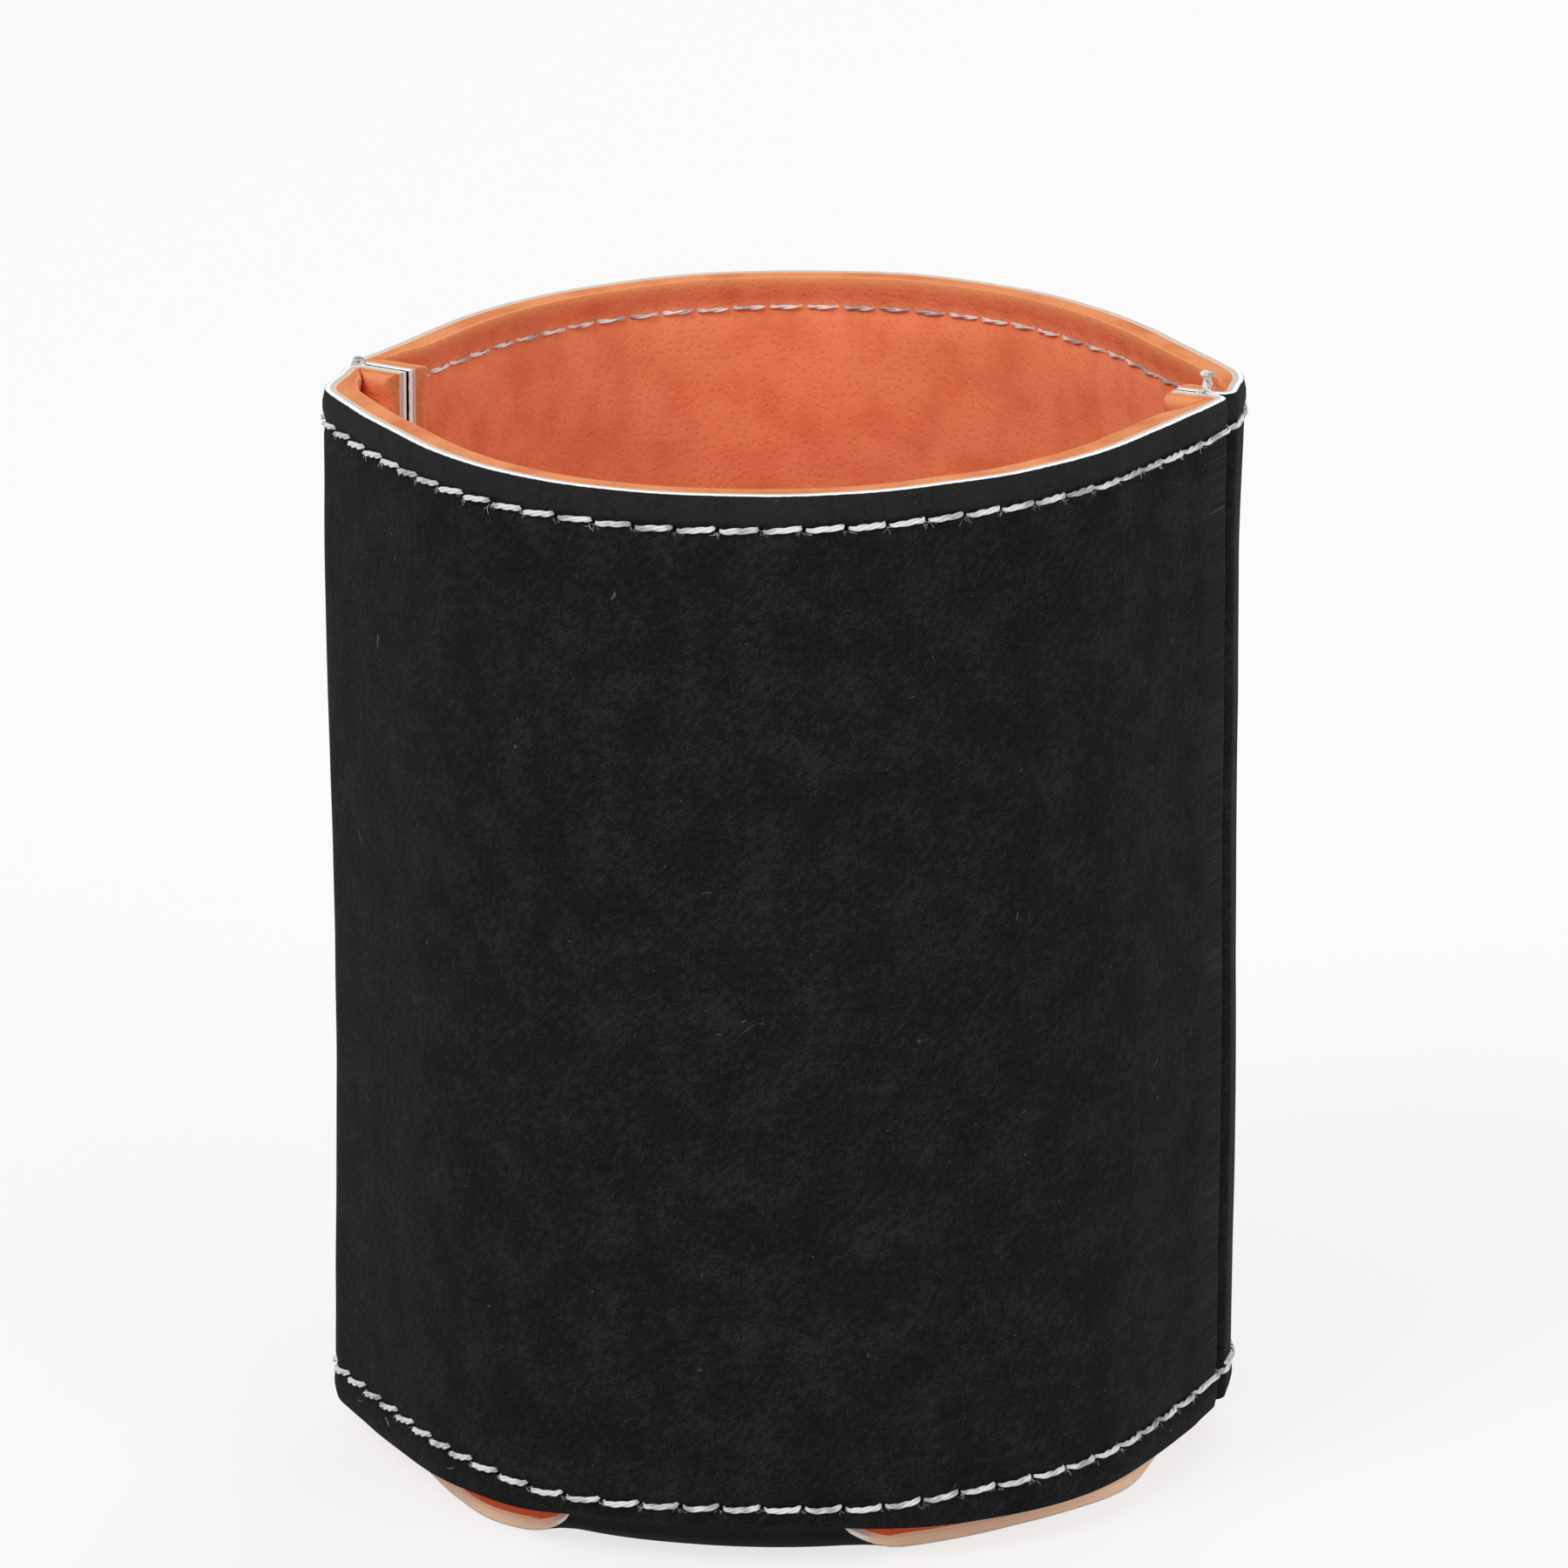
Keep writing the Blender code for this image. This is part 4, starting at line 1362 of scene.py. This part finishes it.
def foam_material(name, light, dark, pore_size, rim):
    """Fine-celled orange foam with dark pores, with painted shade and painted bounce light low at the base.
    rim is how far it turns as pale as its cut edge there.
    """
    shader = Shader(name)
    place = shader.place()
    cells = {"Vector": place, "Scale": 1.0 / pore_size, "Randomness": 1.0}
    pores = shader.node("ShaderNodeTexVoronoi", cells, feature="F1")
    walls = shader.remap(pores.outputs["Distance"], 0.05, 0.55)
    mottle = shader.noise(place, 190.0, 3.0, 0.55)
    grain = shader.noise(place, 2600.0, 3.0, 0.6)
    base = shader.mix(shader.remap(mottle, 0.25, 0.65), dark, light)
    base = shader.mix(shader.math("MULTIPLY", shader.math("SUBTRACT", 1.0, walls), 0.35), base, dark)
    height = shader.split(place)["Z"]
    base = shader.mix(shader.remap(height, HEIGHT - 0.0013, HEIGHT - 0.0004, 0.0, rim), base, FOAM_CUT[0])
    # Painted shade: the foam low at the base, under the hem, turns dark red.
    base = shader.mix(shader.remap(height, STACK, HEM_Z + 0.0002, 0.9, 0.0), base, BASE_LINE_PAINTED_SHADE)
    # Painted orange bounce light: the foam lowest at the base turns peach like the leather's edge.
    base = shader.mix(shader.remap(height, 0.00122, 0.00136, 0.9, 0.0), base, BASE_EDGE_PAINTED_BOUNCE)
    normal = shader.bump(walls, 0.45, 0.00008)
    normal = shader.bump(grain, 0.5, 0.00008, normal)
    return shader.finish(
        Base_Color=base,
        Roughness=0.85,
        Specular_IOR_Level=0.15,
        Normal=normal,
    )


def thread_material():
    """Light grey polyester thread with fine fibres along it."""
    shader = Shader("thread_light_grey")
    place = shader.place()
    fibres = shader.noise(place, 9000.0, 2.0, 0.6)
    tone = shader.noise(place, 330.0, 2.0, 0.6)
    base = shader.mix(shader.remap(tone, 0.38, 0.56), *THREAD_SHADES)
    base = shader.mix(shader.math("MULTIPLY", fibres, 0.40), base, THREAD_FIBRE)
    normal = shader.bump(fibres, 0.4, 0.00003)
    return shader.finish(
        Base_Color=base,
        Roughness=0.42,
        Specular_IOR_Level=0.5,
        Sheen_Weight=0.05,
        Sheen_Roughness=0.4,
        Normal=normal,
    )


# The stage


def seen_directly(tree):
    """1 for rays that the camera sees, or sees in a mirror or through glass."""
    path = tree.nodes.new("ShaderNodeLightPath")
    total = path.outputs["Is Camera Ray"]
    for name in ("Is Glossy Ray", "Is Transmission Ray"):
        most = tree.nodes.new("ShaderNodeMath")
        most.operation = "MAXIMUM"
        tree.links.new(total, most.inputs[0])
        tree.links.new(path.outputs[name], most.inputs[1])
        total = most.outputs[0]
    return total


def make_floor():
    """A pale floor that reads as white, and keeps a soft shadow."""
    bm = bmesh.new()
    bmesh.ops.create_grid(bm, x_segments=1, y_segments=1, size=FLOOR_HALF)
    mesh = bpy.data.meshes.new("floor")
    bm.to_mesh(mesh)
    bm.free()
    floor = add_object("floor", mesh)
    floor.location.z = -FLOOR_DROP
    material = bpy.data.materials.new("floor_white")
    material.use_nodes = True
    tree = material.node_tree
    shader = tree.nodes["Principled BSDF"]
    shader.inputs["Base Color"].default_value = (0.8, 0.8, 0.8, 1.0)
    shader.inputs["Roughness"].default_value = 0.9
    shader.inputs["Specular IOR Level"].default_value = 0.1
    glow = tree.nodes.new("ShaderNodeEmission")
    glow.inputs["Strength"].default_value = 1.0
    mix = tree.nodes.new("ShaderNodeMixShader")
    share = tree.nodes.new("ShaderNodeMath")
    share.operation = "MULTIPLY"
    share.inputs[1].default_value = FLOOR_GLOW
    tree.links.new(seen_directly(tree), share.inputs[0])
    tree.links.new(share.outputs[0], mix.inputs[0])
    tree.links.new(shader.outputs[0], mix.inputs[1])
    tree.links.new(glow.outputs[0], mix.inputs[2])
    tree.links.new(mix.outputs[0], tree.nodes["Material Output"].inputs["Surface"])
    mesh.materials.append(material)


def make_world():
    world = bpy.data.worlds.new("studio")
    bpy.context.scene.world = world
    world.use_nodes = True
    tree = world.node_tree
    background = tree.nodes["Background"]
    background.inputs["Color"].default_value = (1.0, 1.0, 1.0, 1.0)
    level = tree.nodes.new("ShaderNodeMapRange")
    level.inputs["To Min"].default_value = WORLD_LEVEL
    level.inputs["To Max"].default_value = 1.0
    tree.links.new(seen_directly(tree), level.inputs["Value"])
    tree.links.new(level.outputs[0], background.inputs["Strength"])


def make_lamps():
    target = Vector((0.0, 0.0, HEIGHT / 2))
    for name, place, size, power in LAMPS:
        data = bpy.data.lights.new(name, "AREA")
        data.shape = "DISK"
        data.size = size
        data.energy = power
        lamp = add_object(name, data)
        lamp.location = place
        lamp.rotation_euler = (target - Vector(place)).to_track_quat("-Z", "Y").to_euler()


def make_camera():
    data = bpy.data.cameras.new("camera")
    data.sensor_width = CAMERA_SENSOR_MM
    data.lens = CAMERA_LENS_MM
    data.clip_start = CAMERA_NEAR
    data.clip_end = CAMERA_FAR
    camera = add_object("camera", data)
    turn, rise = math.radians(CAMERA_TURN_DEG), math.radians(CAMERA_RISE_DEG)
    back = Vector((math.sin(turn) * math.cos(rise), -math.cos(turn) * math.cos(rise), math.sin(rise)))
    target = Matrix.Rotation(turn, 3, "Z") @ Vector(CAMERA_TARGET)
    camera.location = target + back * CAMERA_DISTANCE
    camera.rotation_euler = (-back).to_track_quat("-Z", "Y").to_euler()
    bpy.context.scene.camera = camera


# The pieces


def layer_object(name, mesh, materials, node):
    for material in materials:
        mesh.materials.append(material)
    return add_piece(name, mesh, node)


def make_sheet(front, back):
    net = sheet_net(front, back)
    skin, cut = leatherette_skin(), leatherette_edge()
    foam_face = foam_material("foam_face", *FOAM_FACE, 0.00055, 0.8)
    foam_cut = foam_material("foam_cut_edge", *FOAM_CUT, 0.00035, 0.0)
    cover = layer_mesh("leatherette_sheet", net, 0.0, LEATHER, LEATHER_EDGE)
    layer_object("leatherette_sheet", cover, (skin, cut, cut), "leatherette_cover")
    liner = layer_mesh("foam_sheet", net, FOAM_DEPTH, STACK, FOAM_EDGE)
    piece = layer_object("foam_sheet", liner, (foam_face, foam_cut, foam_face), "foam_liner")


def make_threads(front, back):
    material = thread_material()
    made = []
    for name, panel in (("front", front), ("back", back)):
        for row, z in (("top", TOP_ROW_Z), ("bottom", BOTTOM_ROW_Z)):
            made.append(hem_needle_thread(name, panel, row, z))
            made.append(hem_bobbin_thread(name, panel, row, z))
    made.append(seam_thread("right", "front", front.end_corner))
    made.append(seam_thread("right", "back", back.start_corner))
    made.append(seam_thread("left", "front", front.start_corner))
    made.append(seam_thread("left", "back", back.end_corner))
    for piece in made:
        piece.data.materials.append(material)


def main():
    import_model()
    bpy.context.scene.view_settings.view_transform = "Standard"
    right = Seam(RIGHT_SEAM_DEG, RIGHT_ALLOWANCE_DEG, RIGHT_ALLOWANCE)
    left = Seam(LEFT_SEAM_DEG, LEFT_ALLOWANCE_DEG, LEFT_ALLOWANCE)
    front = Panel(left, right)
    back = Panel(right, left)
    make_sheet(front, back)
    make_threads(front, back)
    make_floor()
    make_world()
    make_lamps()
    make_camera()


main()
